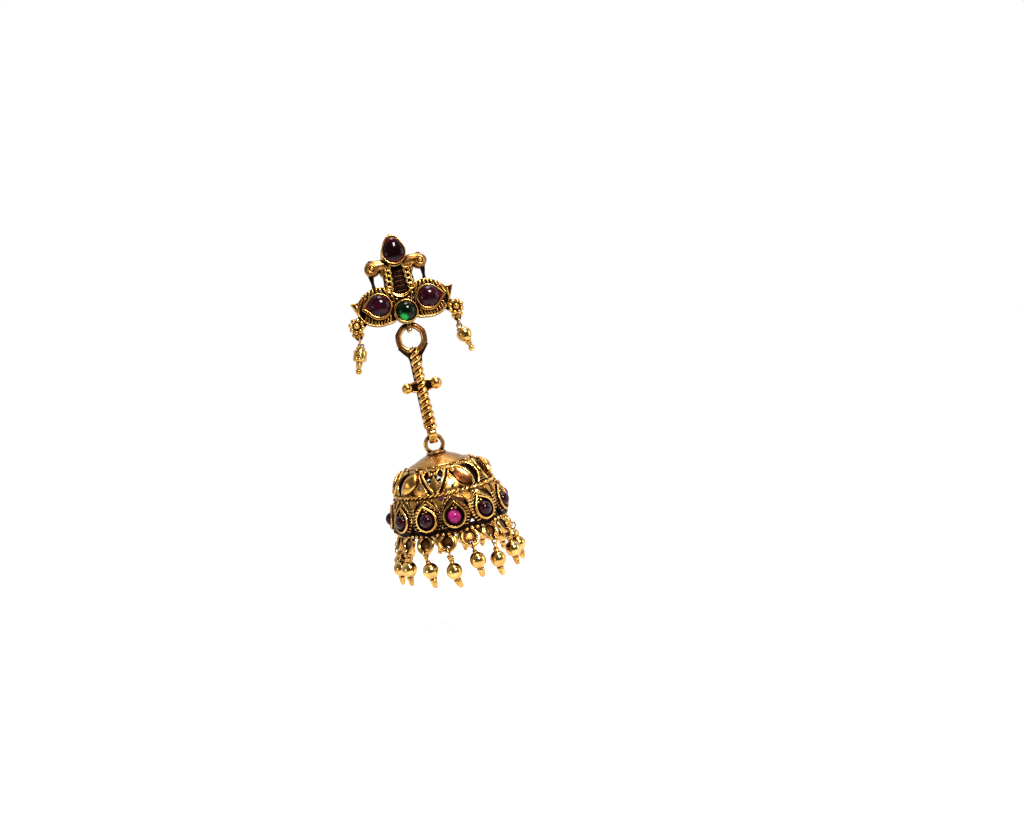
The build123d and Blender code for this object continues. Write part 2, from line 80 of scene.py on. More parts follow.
def even(line, count, closed=True):     # the same line with evenly spaced points
    line = np.asarray(line, float)
    if closed:
        line = np.vstack([line, line[:1]])
    run = np.r_[0, np.cumsum(np.linalg.norm(np.diff(line, axis=0), axis=1))]
    at = np.linspace(0, run[-1], count, endpoint=not closed)
    return np.stack([np.interp(at, run, line[:, k]) for k in range(line.shape[1])], 1)


def smooth(line, count, closed=False):      # a rounded curve through a few points
    line = np.asarray(line, float)
    n = len(line)
    spans = n if closed else n - 1
    out = []
    for t in np.linspace(0, spans, count, endpoint=not closed):
        i = min(int(t), spans - 1)
        f = t - i
        picks = [(i + k) % n if closed else min(max(i + k, 0), n - 1) for k in (-1, 0, 1, 2)]
        a, b, c, d = (line[k] for k in picks)
        out.append(0.5 * (2 * b + (c - a) * f + (2 * a - 5 * b + 4 * c - d) * f * f
                          + (3 * b - a - 3 * c + d) * f ** 3))
    return np.array(out)


def arc(centre, r, start, end, count):      # from one angle in degrees to another
    turn = np.radians(np.linspace(start, end, count))
    return np.stack([centre[0] + r * np.cos(turn), centre[1] + r * np.sin(turn)], 1)


def circle(centre, r, count):
    return arc(centre, r, 0, 360, count + 1)[:-1]


def fullTurn(count):        # the angles of evenly spaced spokes
    return np.arange(count) * 2 * pi / count


def pearLine(r, tip, count=72, point=0.18):     # point up, anticlockwise, with its point rounded
    high = tip - point
    lean = degrees(asin((r - point) / high))
    body, top = arc((0, 0), r, 180 - lean, 360 + lean, 60), arc((0, high), point, lean, 180 - lean, 24)
    return even(np.vstack([body, top]), count)


def turned(line, angle):        # in degrees, anticlockwise
    c, s = cos(radians(angle)), sin(radians(angle))
    return np.asarray(line) @ np.array([[c, s], [-s, c]])


def grown(line, by):        # a closed outline moved outwards
    ahead = np.roll(line, -1, 0) - np.roll(line, 1, 0)
    ahead /= np.linalg.norm(ahead, axis=1)[:, None] + 1e-9
    return line + by * np.stack([ahead[:, 1], -ahead[:, 0]], 1)


def tapered(count, steps, sizes):       # a size that changes along a line of that many points
    return np.interp(np.arange(count), steps, sizes)


def inside(points, line):       # which points lie within a closed outline
    x, z = np.atleast_2d(points).T[..., None]
    a, b = line, np.roll(line, -1, 0)
    crosses = (a[:, 1] > z) != (b[:, 1] > z)
    at = a[:, 0] + (z - a[:, 1]) * (b[:, 0] - a[:, 0]) / (b[:, 1] - a[:, 1] + 1e-12)
    return np.sum(crosses & (x < at), -1) % 2 == 1


def tubeRings(path, radius, sides, closed=False):
    path = np.asarray(path, float)
    count = len(path)
    radius = np.broadcast_to(radius, count)
    ahead = np.roll(path, -1, 0) - np.roll(path, 1, 0) if closed else np.gradient(path, axis=0)
    ahead = ahead / np.linalg.norm(ahead, axis=1)[:, None]
    side, spokes = np.cross(ahead[0], (0.31, 0.52, 0.79)), []       # a way that no path starts along
    for way in ahead:
        side = unit(side - way * (side @ way))
        spokes.append(side)
    slip = 0.0
    if closed:      # the last ring turns back to meet the first
        last = spokes[-1] - ahead[0] * (spokes[-1] @ ahead[0])
        slip = np.arctan2(np.cross(last, spokes[0]) @ ahead[0], last @ spokes[0])
    rings = []
    for i in range(count):
        turn, other = (fullTurn(sides) + slip * i / count)[:, None], np.cross(ahead[i], spokes[i])
        rings.append(path[i] + radius[i] * (np.cos(turn) * spokes[i] + np.sin(turn) * other))
    return np.array(rings)


# gathers the shells of one piece, with a stain: 1 under full oxide, 0 on worn metal, less where it is bright;
# in places it also carries painted shade, and on stones the share of a painted glow at the edge
class Casting:
    def __init__(self):
        self.points, self.faces, self.stains, self.count = [], [], [], 0

    def shell(self, points, faces, stain=0.0):
        points = np.asarray(points, float).reshape(-1, 3)
        self.points.append(points)
        self.faces.extend(tuple(i + self.count for i in face) for face in faces)
        self.stains.append(np.broadcast_to(stain, len(points)).astype(float))
        self.count += len(points)

    def rings(self, rings, stain=0.0, along=False, around=True):
        rings = np.asarray(rings, float)
        n, m = rings.shape[:2]
        faces = []
        for i in range(n if along else n - 1):
            k = (i + 1) % n
            for j in range(m if around else m - 1):
                j2 = (j + 1) % m
                faces.append((i * m + j, i * m + j2, k * m + j2, k * m + j))
        if not along:       # flat ends
            faces.append(tuple(range(m))[::-1])
            faces.append(tuple((n - 1) * m + j for j in range(m)))
        self.shell(rings, faces, stain)

    def tube(self, path, radius, sides=10, closed=False, stain=0.0):
        self.rings(tubeRings(path, radius, sides, closed), stain, along=closed)

    def straight(self, start, end, shares, radius, sides, stain):
        t = np.array(shares)[:, None]
        self.tube(np.asarray(start) * (1 - t) + np.asarray(end) * t, radius, sides, stain=stain)

    def rod(self, start, end, r0, r1=None, sides=10, stain=0.0):
        self.straight(start, end, (0, 0.5, 1), np.linspace(r0, r0 if r1 is None else r1, 3), sides, stain)

    def bar(self, start, end, r, sides=8, stain=0.0):      # a short rib with rounded ends
        swell = np.array([0.35, 0.75, 1, 1, 1, 0.75, 0.35])
        self.straight(start, end, (0, 0.04, 0.14, 0.5, 0.86, 0.96, 1), r * swell, sides, stain)

    def ball(self, centre, r, sides=12, stretch=(1, 1, 1), stain=0.0):
        pole, turn = pi / 2 - 0.12, fullTurn(sides)
        rings = []
        for up in np.linspace(-pole, pole, max(sides * 2 // 3, 6)):
            ring = np.stack([cos(up) * np.cos(turn), cos(up) * np.sin(turn), np.full(sides, sin(up))], 1)
            rings.append(np.asarray(centre) + r * ring * stretch)
        self.rings(rings, stain)

    def hoop(self, centre, axis, r, wire, count=40, sides=10, stain=0.0, oval=1.0, up=(0, 0, 1)):
        axis, up = unit(axis), np.asarray(up, float)
        level = abs(axis @ unit(up)) < 0.99
        b = unit(up - axis * (axis @ up)) if level else unit(np.cross(axis, (1, 0, 0)))
        turn = fullTurn(count)[:, None]
        path = np.asarray(centre) + r * (np.cos(turn) * np.cross(b, axis) + oval * np.sin(turn) * b)
        self.tube(path, wire, sides, closed=True, stain=stain)

    def slab(self, line, back, front, bevel, place, stain=0.0):     # a plate with a rounded front edge
        layers = [(0, back), (0, front - bevel)]
        layers += [(-bevel * (1 - cos(t)), front - bevel * (1 - sin(t))) for t in (pi / 6, pi / 3, pi / 2)]
        stains = np.repeat([min(stain, 0.22)] + [stain] * 4, len(line))      # the back is worn brighter
        self.rings([place(grown(line, by), depth) for by, depth in layers], stains)

    def section(self, line, rows, place):       # rows: distance outwards, depth, stain
        stains = np.repeat([row[2] for row in rows], len(line))
        self.rings([place(grown(line, by), depth) for by, depth, _ in rows], stains, along=True)

    def wall(self, line, thick, back, front, place):        # a bezel with a dark foot and a bright lip
        lipR, middle = thick / 2, (back + front) / 2
        lip = [(lipR * (cos(a) - 1), front - lipR * (1 - sin(a)), -0.12) for a in np.linspace(0, pi, 7)]
        outside, within = [(0, back, 0.5), (0, middle, 0.15)], [(-thick, middle, 0.3), (-thick, back, 0.5)]
        self.section(line, outside + lip + within, place)

    def lathe(self, profile, count, stain=0.0, solid=True):     # about the dome's axis
        r, z = np.asarray(profile, float).T
        rings = [np.stack([r * sin(a), hangY - r * cos(a), z], 1) for a in fullTurn(count)]
        self.rings(rings, stain, along=True, around=solid)

    def join(self, other, mirrored=False):
        self.faces.extend(tuple(i + self.count for i in face) for face in other.faces)
        self.points += [points * (-1 if mirrored else 1, 1, 1) for points in other.points]
        self.stains += other.stains
        self.count += other.count

    def make(self, name, finish, sharp=42):
        mesh = bpy.data.meshes.new(name)
        mesh.from_pydata((np.vstack(self.points) * mm).tolist(), [], self.faces)
        work = bmesh.new()
        work.from_mesh(mesh)
        bmesh.ops.recalc_face_normals(work, faces=work.faces)
        work.to_mesh(mesh)
        work.free()
        mesh.attributes.new("stain", "FLOAT", "POINT").data.foreach_set(
            "value", np.concatenate(self.stains).astype(np.float32))
        mesh.polygons.foreach_set("use_smooth", [True] * len(mesh.polygons))
        mesh.set_sharp_from_angle(angle=radians(sharp))
        mesh.materials.append(finish)
        piece = bpy.data.objects.new(name, mesh)
        bpy.context.scene.collection.objects.link(piece)
        return piece


def carved(block, cutters):      # the block with every cutter taken out of it
    blockPiece, cutterPiece = block.make("block", None), cutters.make("cutters", None)
    cut = blockPiece.modifiers.new("cut", "BOOLEAN")
    cut.operation, cut.solver, cut.object = "DIFFERENCE", "MANIFOLD", cutterPiece
    bpy.context.view_layer.update()
    mesh = bpy.data.meshes.new_from_object(blockPiece.evaluated_get(bpy.context.evaluated_depsgraph_get()))
    points = np.zeros(len(mesh.vertices) * 3)
    mesh.vertices.foreach_get("co", points)
    result = Casting()
    result.shell(points / mm, [tuple(face.vertices) for face in mesh.polygons])
    for piece in (blockPiece, cutterPiece):
        bpy.data.objects.remove(piece)
    return result


# places: each turns a flat drawing, right and up, and a depth towards the front into points

def studPoint(x, z, depth):     # the depth runs forwards from the stud's back
    return np.array([x, -depth, z])


def onStud(line, depth):
    line = np.asarray(line, float)
    return np.stack([line[:, 0], -depth * np.ones(len(line)), line[:, 1]], 1)


def onBar(line, depth):     # the depth runs forwards from the bar's own axis
    return onStud(line, depth) + (0, hangY, 0)


# materials

class Wire:     # one socket, with the usual signs
    def __init__(self, finish, socket):
        self.finish, self.socket = finish, socket

    def maths(self, operation, first, second):
        made = self.finish.node("ShaderNodeMath", {"operation": operation}, {0: first, 1: second})
        return self.finish.out(made)

    def __add__(self, other): return self.maths("ADD", self, other)
    def __radd__(self, other): return self.maths("ADD", other, self)
    def __sub__(self, other): return self.maths("SUBTRACT", self, other)
    def __rsub__(self, other): return self.maths("SUBTRACT", other, self)
    def __mul__(self, other): return self.maths("MULTIPLY", self, other)
    def __rmul__(self, other): return self.maths("MULTIPLY", other, self)
    def __pow__(self, other): return self.maths("POWER", self, other)
    def __rpow__(self, other): return self.maths("POWER", other, self)


class Finish:       # the nodes of one material
    def __init__(self, tree):
        self.tree = tree
        tree.nodes.clear()

    def node(self, kind, settings=None, inputs=None):
        made = self.tree.nodes.new(kind)
        for key, value in (settings or {}).items():
            setattr(made, key, value)
        for key, value in (inputs or {}).items():
            if isinstance(value, Wire):
                self.tree.links.new(value.socket, made.inputs[key])
            else:
                made.inputs[key].default_value = value
        return made

    def out(self, made, name=0):
        return Wire(self, made.outputs[name])

    def mixColour(self, share, first, second):
        sockets = {0: share}
        for key, colour in ((6, first), (7, second)):
            sockets[key] = colour if isinstance(colour, Wire) else (*colour, 1)
        return self.out(self.node("ShaderNodeMix", {"data_type": "RGBA"}, sockets), 2)

    def vector(self, operation, first, second, name=0):
        sockets = {0: first, "Scale" if operation == "SCALE" else 1: second}
        return self.out(self.node("ShaderNodeVectorMath", {"operation": operation}, sockets), name)

    def span(self, value, low, high, toLow=0.0, toHigh=1.0):
        return self.out(self.node("ShaderNodeMapRange", {"interpolation_type": "SMOOTHSTEP"},
                                  {0: value, 1: low, 2: high, 3: toLow, 4: toHigh}))

    def place(self):        # where a point lies on the piece, in millimetres
        return self.vector("SCALE", self.out(self.node("ShaderNodeTexCoord"), "Object"), 1 / mm)

    def stain(self):
        return self.out(self.node("ShaderNodeAttribute", {"attribute_name": "stain"}), "Fac")

    def noise(self, at, scale, detail=3.0, rough=0.55, twist=0.0):
        return self.out(self.node("ShaderNodeTexNoise", {}, {"Vector": at, "Scale": scale, "Detail": detail,
                                                             "Roughness": rough, "Distortion": twist}))

    def bump(self, height, strength, distance):
        return self.out(self.node("ShaderNodeBump", {}, {"Strength": strength, "Distance": distance * mm,
                                                         "Height": height}))

    def metalOrGlass(self, sockets):
        self.surface(self.out(self.node("ShaderNodeBsdfPrincipled", {}, sockets)))

    def surface(self, shader, end="ShaderNodeOutputMaterial"):
        self.node(end, {}, {"Surface": shader})


def newFinish(name):
    material = bpy.data.materials.new(name)
    material.use_nodes = True
    return material, Finish(material.node_tree)


# colours from worn metal to full oxide, how far hollows are felt, how rough it is, and how high its grain is
antiqueGold = {
    "bright": (0.80, 0.50, 0.15), "middle": (0.42, 0.19, 0.035), "brown": (0.17, 0.048, 0.009),
    "dark": (0.009, 0.003, 0.0015), "hollowReach": 0.8, "hollowFrom": 0.12, "hollowTo": 0.6, "rough": 0.15,
    "roughDark": 0.45, "grain": 0.006}
brownGold = dict(antiqueGold, bright=(0.61, 0.335, 0.078), middle=(0.34, 0.155, 0.029), hollowFrom=0.3,
                 hollowTo=0.8, rough=0.2, grain=0.005)
wireGold = dict(antiqueGold, bright=(0.72, 0.45, 0.13), middle=(0.42, 0.20, 0.042), hollowReach=0.6,
                hollowFrom=0.3, hollowTo=0.8, rough=0.15, grain=0.004)
beadGold = dict(antiqueGold, bright=(0.70, 0.46, 0.15), middle=(0.44, 0.235, 0.056), hollowReach=0.9,
                hollowFrom=0.4, hollowTo=1.0, rough=0.1, grain=0.003)
plainMetal = dict(beadGold, bright=(0.80, 0.68, 0.45), middle=(0.70, 0.58, 0.36), rough=0.2)
goldPattern = {     # how fine each pattern is, then how much it moves the oxide and the wear
    "clouds": 0.55, "patches": 1.7, "grain": 9.0, "pits": 4.2, "dents": 3.6, "patchOxide": 0.26,
    "grainOxide": 0.08, "grainWear": 0.2, "wearFrom": 0.34, "wearTo": 0.76, "brownTo": 0.55, "darkPower": 1.6,
    "dullPatch": 1.9, "bump": 0.6, "dentHigh": 1.2, "pitHigh": 0.6}


def goldFinish(name, look):
    material, f = newFinish(name)
    p, at = goldPattern, f.place()
    clouds, patches = f.noise(at, p["clouds"], 4), f.noise(at, p["patches"], 3)
    grain = f.noise(at, p["grain"], 4, 0.65) - 0.5
    pits = f.out(f.node("ShaderNodeTexVoronoi", {}, {"Vector": at, "Scale": p["pits"]}), "Distance")
    shade = f.node("ShaderNodeAmbientOcclusion", {"samples": 6}, {"Distance": look["hollowReach"] * mm})
    # the stain attribute brings painted shade on some pieces into this darkening, beside the oxide in the
    # hollows
    stainAndShade = 1 - f.out(shade, "AO") + f.stain() + (patches - 0.5) * p["patchOxide"] + grain * p["grainOxide"]
    oxideAndShade = f.span(stainAndShade, look["hollowFrom"], look["hollowTo"])
    worn = f.mixColour(f.span(clouds + grain * p["grainWear"], p["wearFrom"], p["wearTo"]), look["middle"],
                       look["bright"])
    brown = f.mixColour(f.span(oxideAndShade, 0.0, p["brownTo"]), worn, look["brown"])
    polish = f.span(patches, 0.25, 0.8, look["rough"], look["rough"] * p["dullPatch"])
    height = f.noise(at, p["dents"], 1) * p["dentHigh"] + clouds + f.span(pits, 0.0, 0.3) * p["pitHigh"]
    f.metalOrGlass({"Base Color": f.mixColour(oxideAndShade ** p["darkPower"], brown, look["dark"]),
                    "Metallic": 1 - oxideAndShade * 0.03,
                    "Roughness": polish * (1 - oxideAndShade) + oxideAndShade * look["roughDark"],
                    "Normal": f.bump(height, p["bump"], look["grain"])})
    return material


# deep is each stone's body colour; edge is the lighter colour, shown in the stone's swirls and as a painted
# glow of light through its thin rim
garnet = {"deep": (0.004, 0.0003, 0.0006), "edge": (0.085, 0.004, 0.008), "clear": 0.25, "cloud": 0.08,
          "rough": 0.03}
purple = {"deep": (0.012, 0.0008, 0.003), "edge": (0.10, 0.006, 0.016), "clear": 0.3, "cloud": 0.25,
          "rough": 0.025}
pink = {"deep": (0.11, 0.003, 0.038), "edge": (0.30, 0.013, 0.115), "clear": 0.12, "cloud": 1.0,
        "rough": 0.04}
green = {"deep": (0.0006, 0.005, 0.0012), "edge": (0.002, 0.03, 0.005), "clear": 0.45, "cloud": 0.2,
         # the green stone's last three values paint a glow of focused light, a brighter green spot at its
         # lower left
         "rough": 0.025, "glowSpot": (-0.75, -3.6, -6.85), "glowSpotSize": 1.05, "glowSpotColour": (0.01, 0.55, 0.08)}
glass = {"ior": 1.34, "mirror": 0.22, "swirls": 0.55, "veils": 2.4, "veilShare": 0.35, "cloudFrom": 0.42,
         "cloudTo": 0.68, "dull": 3.1, "waves": 0.9, "waveHigh": 0.008, "bump": 0.25}


def stoneFinish(name, look):        # clouded glass, lighter in its swirls and with a painted glow of light through its thin edge
    material, f = newFinish(name)
    at, edge = f.place(), f.stain()
    swirl = f.noise(at, glass["swirls"], 3, 0.5, 1.6)
    veil = (f.noise(at, glass["veils"], 4, 0.6, 0.6) - 0.5) * glass["veilShare"]
    # the stain here is the share of painted glow towards the stone's edge, where light would shine through
    share = f.span(swirl + veil, glass["cloudFrom"], glass["cloudTo"]) * look["cloud"] * (1 - edge) + edge
    colour = f.mixColour(share, look["deep"], look["edge"])
    if "glowSpot" in look:     # a painted glow: focused light shown as a brighter green spot at the stone's lower left
        away = f.vector("DISTANCE", at, look["glowSpot"], "Value") + (swirl - 0.5) * 0.8
        colour = f.mixColour(f.span(away, look["glowSpotSize"], look["glowSpotSize"] * 0.35), colour,
                             look["glowSpotColour"])
    polish = f.span(f.noise(at, glass["dull"], 2), 0.3, 0.7, look["rough"] * 0.7, look["rough"] * 1.8)
    f.metalOrGlass({"Base Color": colour, "Roughness": polish, "IOR": glass["ior"],
                    "Specular IOR Level": glass["mirror"], "Transmission Weight": look["clear"],
                    "Normal": f.bump(f.noise(at, glass["waves"], 2), glass["bump"], glass["waveHigh"])})
    return material


finishes = {}
for name, look in (("castGold", antiqueGold), ("brownGold", brownGold), ("wireGold", wireGold),
                   ("beadGold", beadGold), ("postMetal", plainMetal)):
    finishes[name] = goldFinish(name, look)
for name, look in (("garnetStone", garnet), ("purpleStone", purple), ("pinkStone", pink),
                   ("greenStone", green)):
    finishes[name] = stoneFinish(name, look)
print("finishes made")


# camera, floor and lamps

shot = {"place": (-14.1, -115.0, -24.2), "turn": 5.0, "roll": 12.3, "lens": 20.05, "sensor": 36,
        "shift": (0.1042, -0.0023), "clip": (0.005, 20)}
room = {"floorBelow": 14.0, "floorReach": 260.0, "whiteFrom": 34.0, "paper": (0.93, 0.93, 0.93),
        "paperPale": (0.97, 0.97, 0.965), "softLight": 0.5, "backdrop": 1.0, "sides": 0.36, "ahead": 0.15,
        "aheadWay": (-0.12, -0.99, 0.02), "lampsAim": (0, 0, -26.0), "lampsFar": 420}
lamps = {       # where from, width in millimetres, brightness
    "keyLamp": dict(way=(0.38, -1.0, 0.8), wide=105, bright=76),
    "highLamp": dict(way=(0.25, -0.3, 1.5), wide=130, bright=18),
    "rightLamp": dict(way=(1.2, -0.3, 0.15), wide=240, bright=2.6),
    "leftLamp": dict(way=(-1.3, -0.7, 0.15), wide=150, bright=4.0),
    "topLamp": dict(way=(0.2, 0.3, 1.0), wide=280, bright=3.4)}


def makeCamera():
    lens = bpy.data.cameras.new("frontCamera")
    lens.lens, lens.sensor_width = shot["lens"], shot["sensor"]
    lens.shift_x, lens.shift_y = shot["shift"]
    lens.clip_start, lens.clip_end = shot["clip"]
    camera = bpy.data.objects.new("frontCamera", lens)
    a, r = radians(shot["turn"]), radians(shot["roll"])
    level, up, back = Vector((cos(a), -sin(a), 0)), Vector((0, 0, 1)), Vector((-sin(a), -cos(a), 0))
    axes = (level * cos(r) - up * sin(r), up * cos(r) + level * sin(r), back)
    camera.matrix_world = Matrix.Translation(Vector(shot["place"]) * mm) @ Matrix(axes).transposed().to_4x4()
    bpy.context.scene.collection.objects.link(camera)
    bpy.context.scene.camera = camera


def makeFloor():        # pale paper that fades into the white behind it
    low = cadBox[0][2] / mm - room["floorBelow"]
    ring = circle((0, 0), room["floorReach"], 96)
    floor = Casting()
    floor.shell([(x, y, low) for x, y in ring], [tuple(range(len(ring)))])
    material, f = newFinish("paleFloor")
    at = f.place()
    away = f.vector("LENGTH", f.vector("MULTIPLY", at, (1, 1, 0)), (0, 0, 0), "Value")
    pale = f.mixColour(f.noise(at, 0.12, 3), room["paper"], room["paperPale"])
    paper = f.out(f.node("ShaderNodeBsdfDiffuse", {}, {"Color": pale}))
    clear = f.out(f.node("ShaderNodeBsdfTransparent"))
    fade = f.span(away, room["whiteFrom"], room["floorReach"] * 0.9)
    f.surface(f.out(f.node("ShaderNodeMixShader", {}, {0: fade, 1: paper, 2: clear})))
    floor.make("floor", material)


def makeLamps():
    for name, spec in lamps.items():
        lamp = bpy.data.lights.new(name, "AREA")
        lamp.shape, lamp.size = "SQUARE", spec["wide"] * mm
        lamp.energy = spec["bright"] * pi * lamp.size ** 2
        holder = bpy.data.objects.new(name, lamp)
        way = unit(spec["way"])
        holder.location = (room["lampsAim"] + way * room["lampsFar"]) * mm
        holder.rotation_euler = Vector(way).to_track_quat("Z", "Y").to_euler()
        bpy.context.scene.collection.objects.link(holder)


def makeWorld():        # white behind the part, and a dimmer room for metal to mirror beside and before it
    world = bpy.data.worlds.new("studio")
    bpy.context.scene.world = world
    world.use_nodes = True
    f = Finish(world.node_tree)
    path = f.node("ShaderNodeLightPath")
    seen = f.out(path, "Is Camera Ray") + f.out(path, "Is Transmission Ray")
    shine = f.out(path, "Is Glossy Ray")
    way = f.out(f.node("ShaderNodeTexCoord"), "Generated")
    ahead = f.vector("DOT_PRODUCT", way, room["aheadWay"], "Value")
    mirrored = (f.span(ahead, -0.35, 0.2, room["backdrop"], room["sides"])
                + f.span(ahead, 0.25, 0.9, 0.0, room["ahead"] - room["sides"]))
    strength = seen + (1 - seen) * (shine * mirrored + (1 - shine) * room["softLight"])
    sky = f.node("ShaderNodeBackground", {}, {"Color": (1, 1, 1, 1), "Strength": strength})
    f.surface(f.out(sky), "ShaderNodeOutputWorld")
    bpy.context.scene.view_settings.view_transform = "Standard"


makeCamera()
makeFloor()
makeLamps()
makeWorld()
print("camera, floor and light made")


# the stud, drawn on its +X half and mirrored

stud = {
    "plate": 1.4, "rimWire": 0.16, "lowRimWire": 0.14, "setFront": 3.15, "seat": 1.9,
    "wing": [(4.3, -7.3), (6.4, -7.2), (8.3, -6.2), (9.35, -4.4), (9.05, -2.2), (7.4, -0.55), (5.2, 0.35),
             (3.4, 0.12), (1.9, -0.7), (1.9, -6.3)],
    # each bezel is a high wall on a lower and wider ledge, with a floor for the stone inside
    "wingPear": dict(x=5.0, z=-3.6, r=2.48, tip=3.34, point=0.18, wall=0.3, back=0.3, ledge=0.2,
                     ledgeWall=0.26, ledgeTop=2.2, inset=0.25, floor=0.2, stain=0.1),
    "topPear": dict(x=0.0, z=6.3, r=2.44, tip=3.42, point=1.72, wall=0.3, back=0.0, ledge=0.12, ledgeWall=0.3,
                    ledgeTop=1.9, inset=0.3, floor=0.0, stain=0.3),
    "green": dict(x=0.0, z=-5.6, r=2.33, wall=0.3, back=1.78, ledge=0.16, ledgeWall=0.26, ledgeTop=2.4,
                  inset=0.25, floor=1.78, stain=0.1)}
wingRibs = {    # where each rib meets the wing's edge, and how far its upper end leans inwards, in degrees
    "upper": [(2.75, -28), (3.45, -18), (4.15, -6), (4.85, 2), (5.55, 9), (6.2, 17), (6.9, 24), (7.6, 27),
              (8.25, 27), (8.85, 24)],
    "lower": [(3.3, 8), (3.95, 10), (4.6, 12), (5.25, 12), (5.9, 13), (6.55, 14), (7.2, 15), (7.85, 17),
              (8.4, 20)],
    "wire": 0.215, "inset": 0.16, "shortest": 0.3, "clear": 0.12, "step": 0.05}


def addBezel(casting, line, spec):
    back = spec["back"]
    casting.wall(grown(line, spec["ledge"]), spec["ledgeWall"], back, spec["ledgeTop"], onStud)
    casting.wall(line, spec["wall"], back, stud["setFront"], onStud)
    casting.slab(grown(line, -spec["inset"]), spec["floor"], stud["seat"], 0.05, onStud, stain=spec["stain"])


def ribRun(start, way, field, bezel):       # where a rib meets the bezel or the wing's edge
    reach, step = 0.0, wingRibs["step"]
    while (inside(start + way * (reach + wingRibs["clear"]), field)
           and not inside(start + way * (reach + step), bezel)):
        reach += step
    return start + way * reach


def addWingRibs(side, line, bezel):
    depth = stud["plate"] + 0.1
    for name, sign in (("upper", 1), ("lower", -1)):
        for x, lean in wingRibs[name]:
            edgeZ = sign * max(sign * p[1] for p in line if abs(p[0] - x) < 0.3)
            way = sign * np.array([sin(radians(lean)), -cos(radians(lean))])
            start = np.array([x, edgeZ]) + way * wingRibs["inset"]
            end = ribRun(start + way * 0.1, way, line, bezel)
            if np.linalg.norm(end - start) > wingRibs["shortest"]:
                r = wingRibs["wire"] * chance.uniform(0.92, 1.08)
                side.bar(studPoint(*start, depth), studPoint(*end, depth + 0.02), r, 9, stain=-0.12)


def addWing(side):
    pear, plate = stud["wingPear"], stud["plate"]
    line = even(smooth(stud["wing"], 160, closed=True), 120)
    side.slab(line, 0, plate - 0.2, 0.15, onStud, stain=1.0)
    side.tube(onStud(grown(line, -0.14), plate - 0.02), stud["rimWire"], 8, closed=True)
    side.tube(onStud(grown(line, -0.02), plate - 0.65), stud["lowRimWire"], 7, closed=True, stain=0.3)
    bezel = turned(pearLine(pear["r"], pear["tip"], 96, pear["point"]), -90) + (pear["x"], pear["z"])
    addWingRibs(side, line, grown(bezel, pear["ledge"] + 0.04))
    addBezel(side, bezel, pear)


tail = {"outline": [(8.75, -4.6), (9.25, -4.75), (9.8, -3.4), (10.45, -1.85), (9.5, -2.0), (8.7, -1.75)],
        "edge": [(9.2, -4.75), (9.8, -3.4), (10.42, -1.9), (9.55, -2.08), (8.9, -1.95)],
        "back": 0.1, "front": 1.1, "edgeWire": 0.17, "ribWire": 0.15, "stain": 0.55}


def addTail(side):      # the wing's pointed tip
    front = tail["front"]
    side.slab(even(tail["outline"], 70), tail["back"], front, 0.12, onStud, stain=tail["stain"])
    side.tube(onStud(even(tail["edge"], 40, closed=False), front + 0.1), tail["edgeWire"], 8, stain=-0.05)
    side.bar(studPoint(9.4, -2.3, front), studPoint(9.35, -3.9, front + 0.05), tail["ribWire"], stain=-0.05)


head = {        # the lines run through points measured from the head's middle, and the web's from the stud's
    "at": (4.8, 4.0), "r": 1.52, "depth": 1.2, "eye": (0.12, -0.02), "eyeR": 0.72, "eyeWire": 0.14,
    "pupilR": 0.46,
    "neck": [(0, 0.1), (-0.8, 0.45), (-1.7, 0.55), (-2.5, 0.4), (-3.2, 0.2)],
    "crest": [(-3.2, 1.0), (-2.4, 1.38), (-1.4, 1.5), (-0.4, 1.42), (0.65, 1.2), (1.25, 0.6), (1.38, -0.15),
              (1.05, -0.85)],
    "leg": [(0.5, -1.0), (0.48, -1.7), (0.45, -2.5), (0.42, -3.3), (0.4, -4.3)],
    "web": [(2.3, 4.6), (2.3, 2.2), (2.95, 2.0), (3.35, 2.6), (3.55, 3.6), (3.6, 4.4)]}


def addHead(side):      # a curled comma with a ringed eye, a crest above it and a waisted leg below it
    middle, r, depth = np.array(head["at"]), head["r"], head["depth"]
    centre = onStud(smooth(head["neck"] + middle, 30), depth)
    rings = tubeRings(centre, tapered(30, (0, 8, 16, 29), (1.4, 1.22, 1.1, 1.0)), 22)
    flat = centre[:, None, :]
    side.rings(flat + (rings - flat) * (1, 0.8, 1), 0.27)
    side.ball(studPoint(*middle, depth - 0.1), r, 32, (1.0, 0.86, 1.0), stain=0.3)
    side.tube(onStud(smooth(head["crest"] + middle, 44), depth + 0.3),
              tapered(44, (0, 22, 36, 43), (0.14, 0.24, 0.22, 0.1)), 8, stain=-0.12)
    eye = head["eye"] + middle
    side.hoop(studPoint(*eye, 2.38), (0, -1, 0), head["eyeR"], head["eyeWire"], 36, 9, stain=-0.15)
    side.slab(circle(eye, 0.7, 32), 1.9, 2.42, 0.04, onStud, stain=0.6)
    side.ball(studPoint(*eye, 2.46), head["pupilR"], 18, (1, 0.9, 1), stain=-0.25)
    for x, z, high, knobR, sides, stretch in ((0.1, 0.1, 1.0, 0.42, 12, (1.4, 1.1, 0.8)),
                                              (0.75, -0.12, 0.95, 0.3, 10, (1.1, 1.0, 0.8))):
        side.ball(studPoint(middle[0] + x, middle[1] + r + z, high), knobR, sides, stretch, stain=0.4)
    side.slab(even(head["web"], 50), 0.2, 1.6, 0.25, onStud, stain=0.2)
    leg = smooth(head["leg"] + middle, 20)
    side.tube(onStud(leg, 0.95), tapered(20, (0, 5, 11, 19), (0.62, 0.48, 0.3, 0.46)), 10, stain=0.8)


scallops = {"count": 5, "x": 1.88, "drift": (0.0, 0.02, 0.08, 0.18, 0.34), "top": 3.75, "step": 1.1,
            "r": 0.54, "wire": 0.25, "linkWire": 0.2,
            "backing": [(1.0, -0.9), (3.3, -0.6), (3.0, 1.0), (2.95, 3.0), (3.2, 4.6), (1.0, 4.7)]}


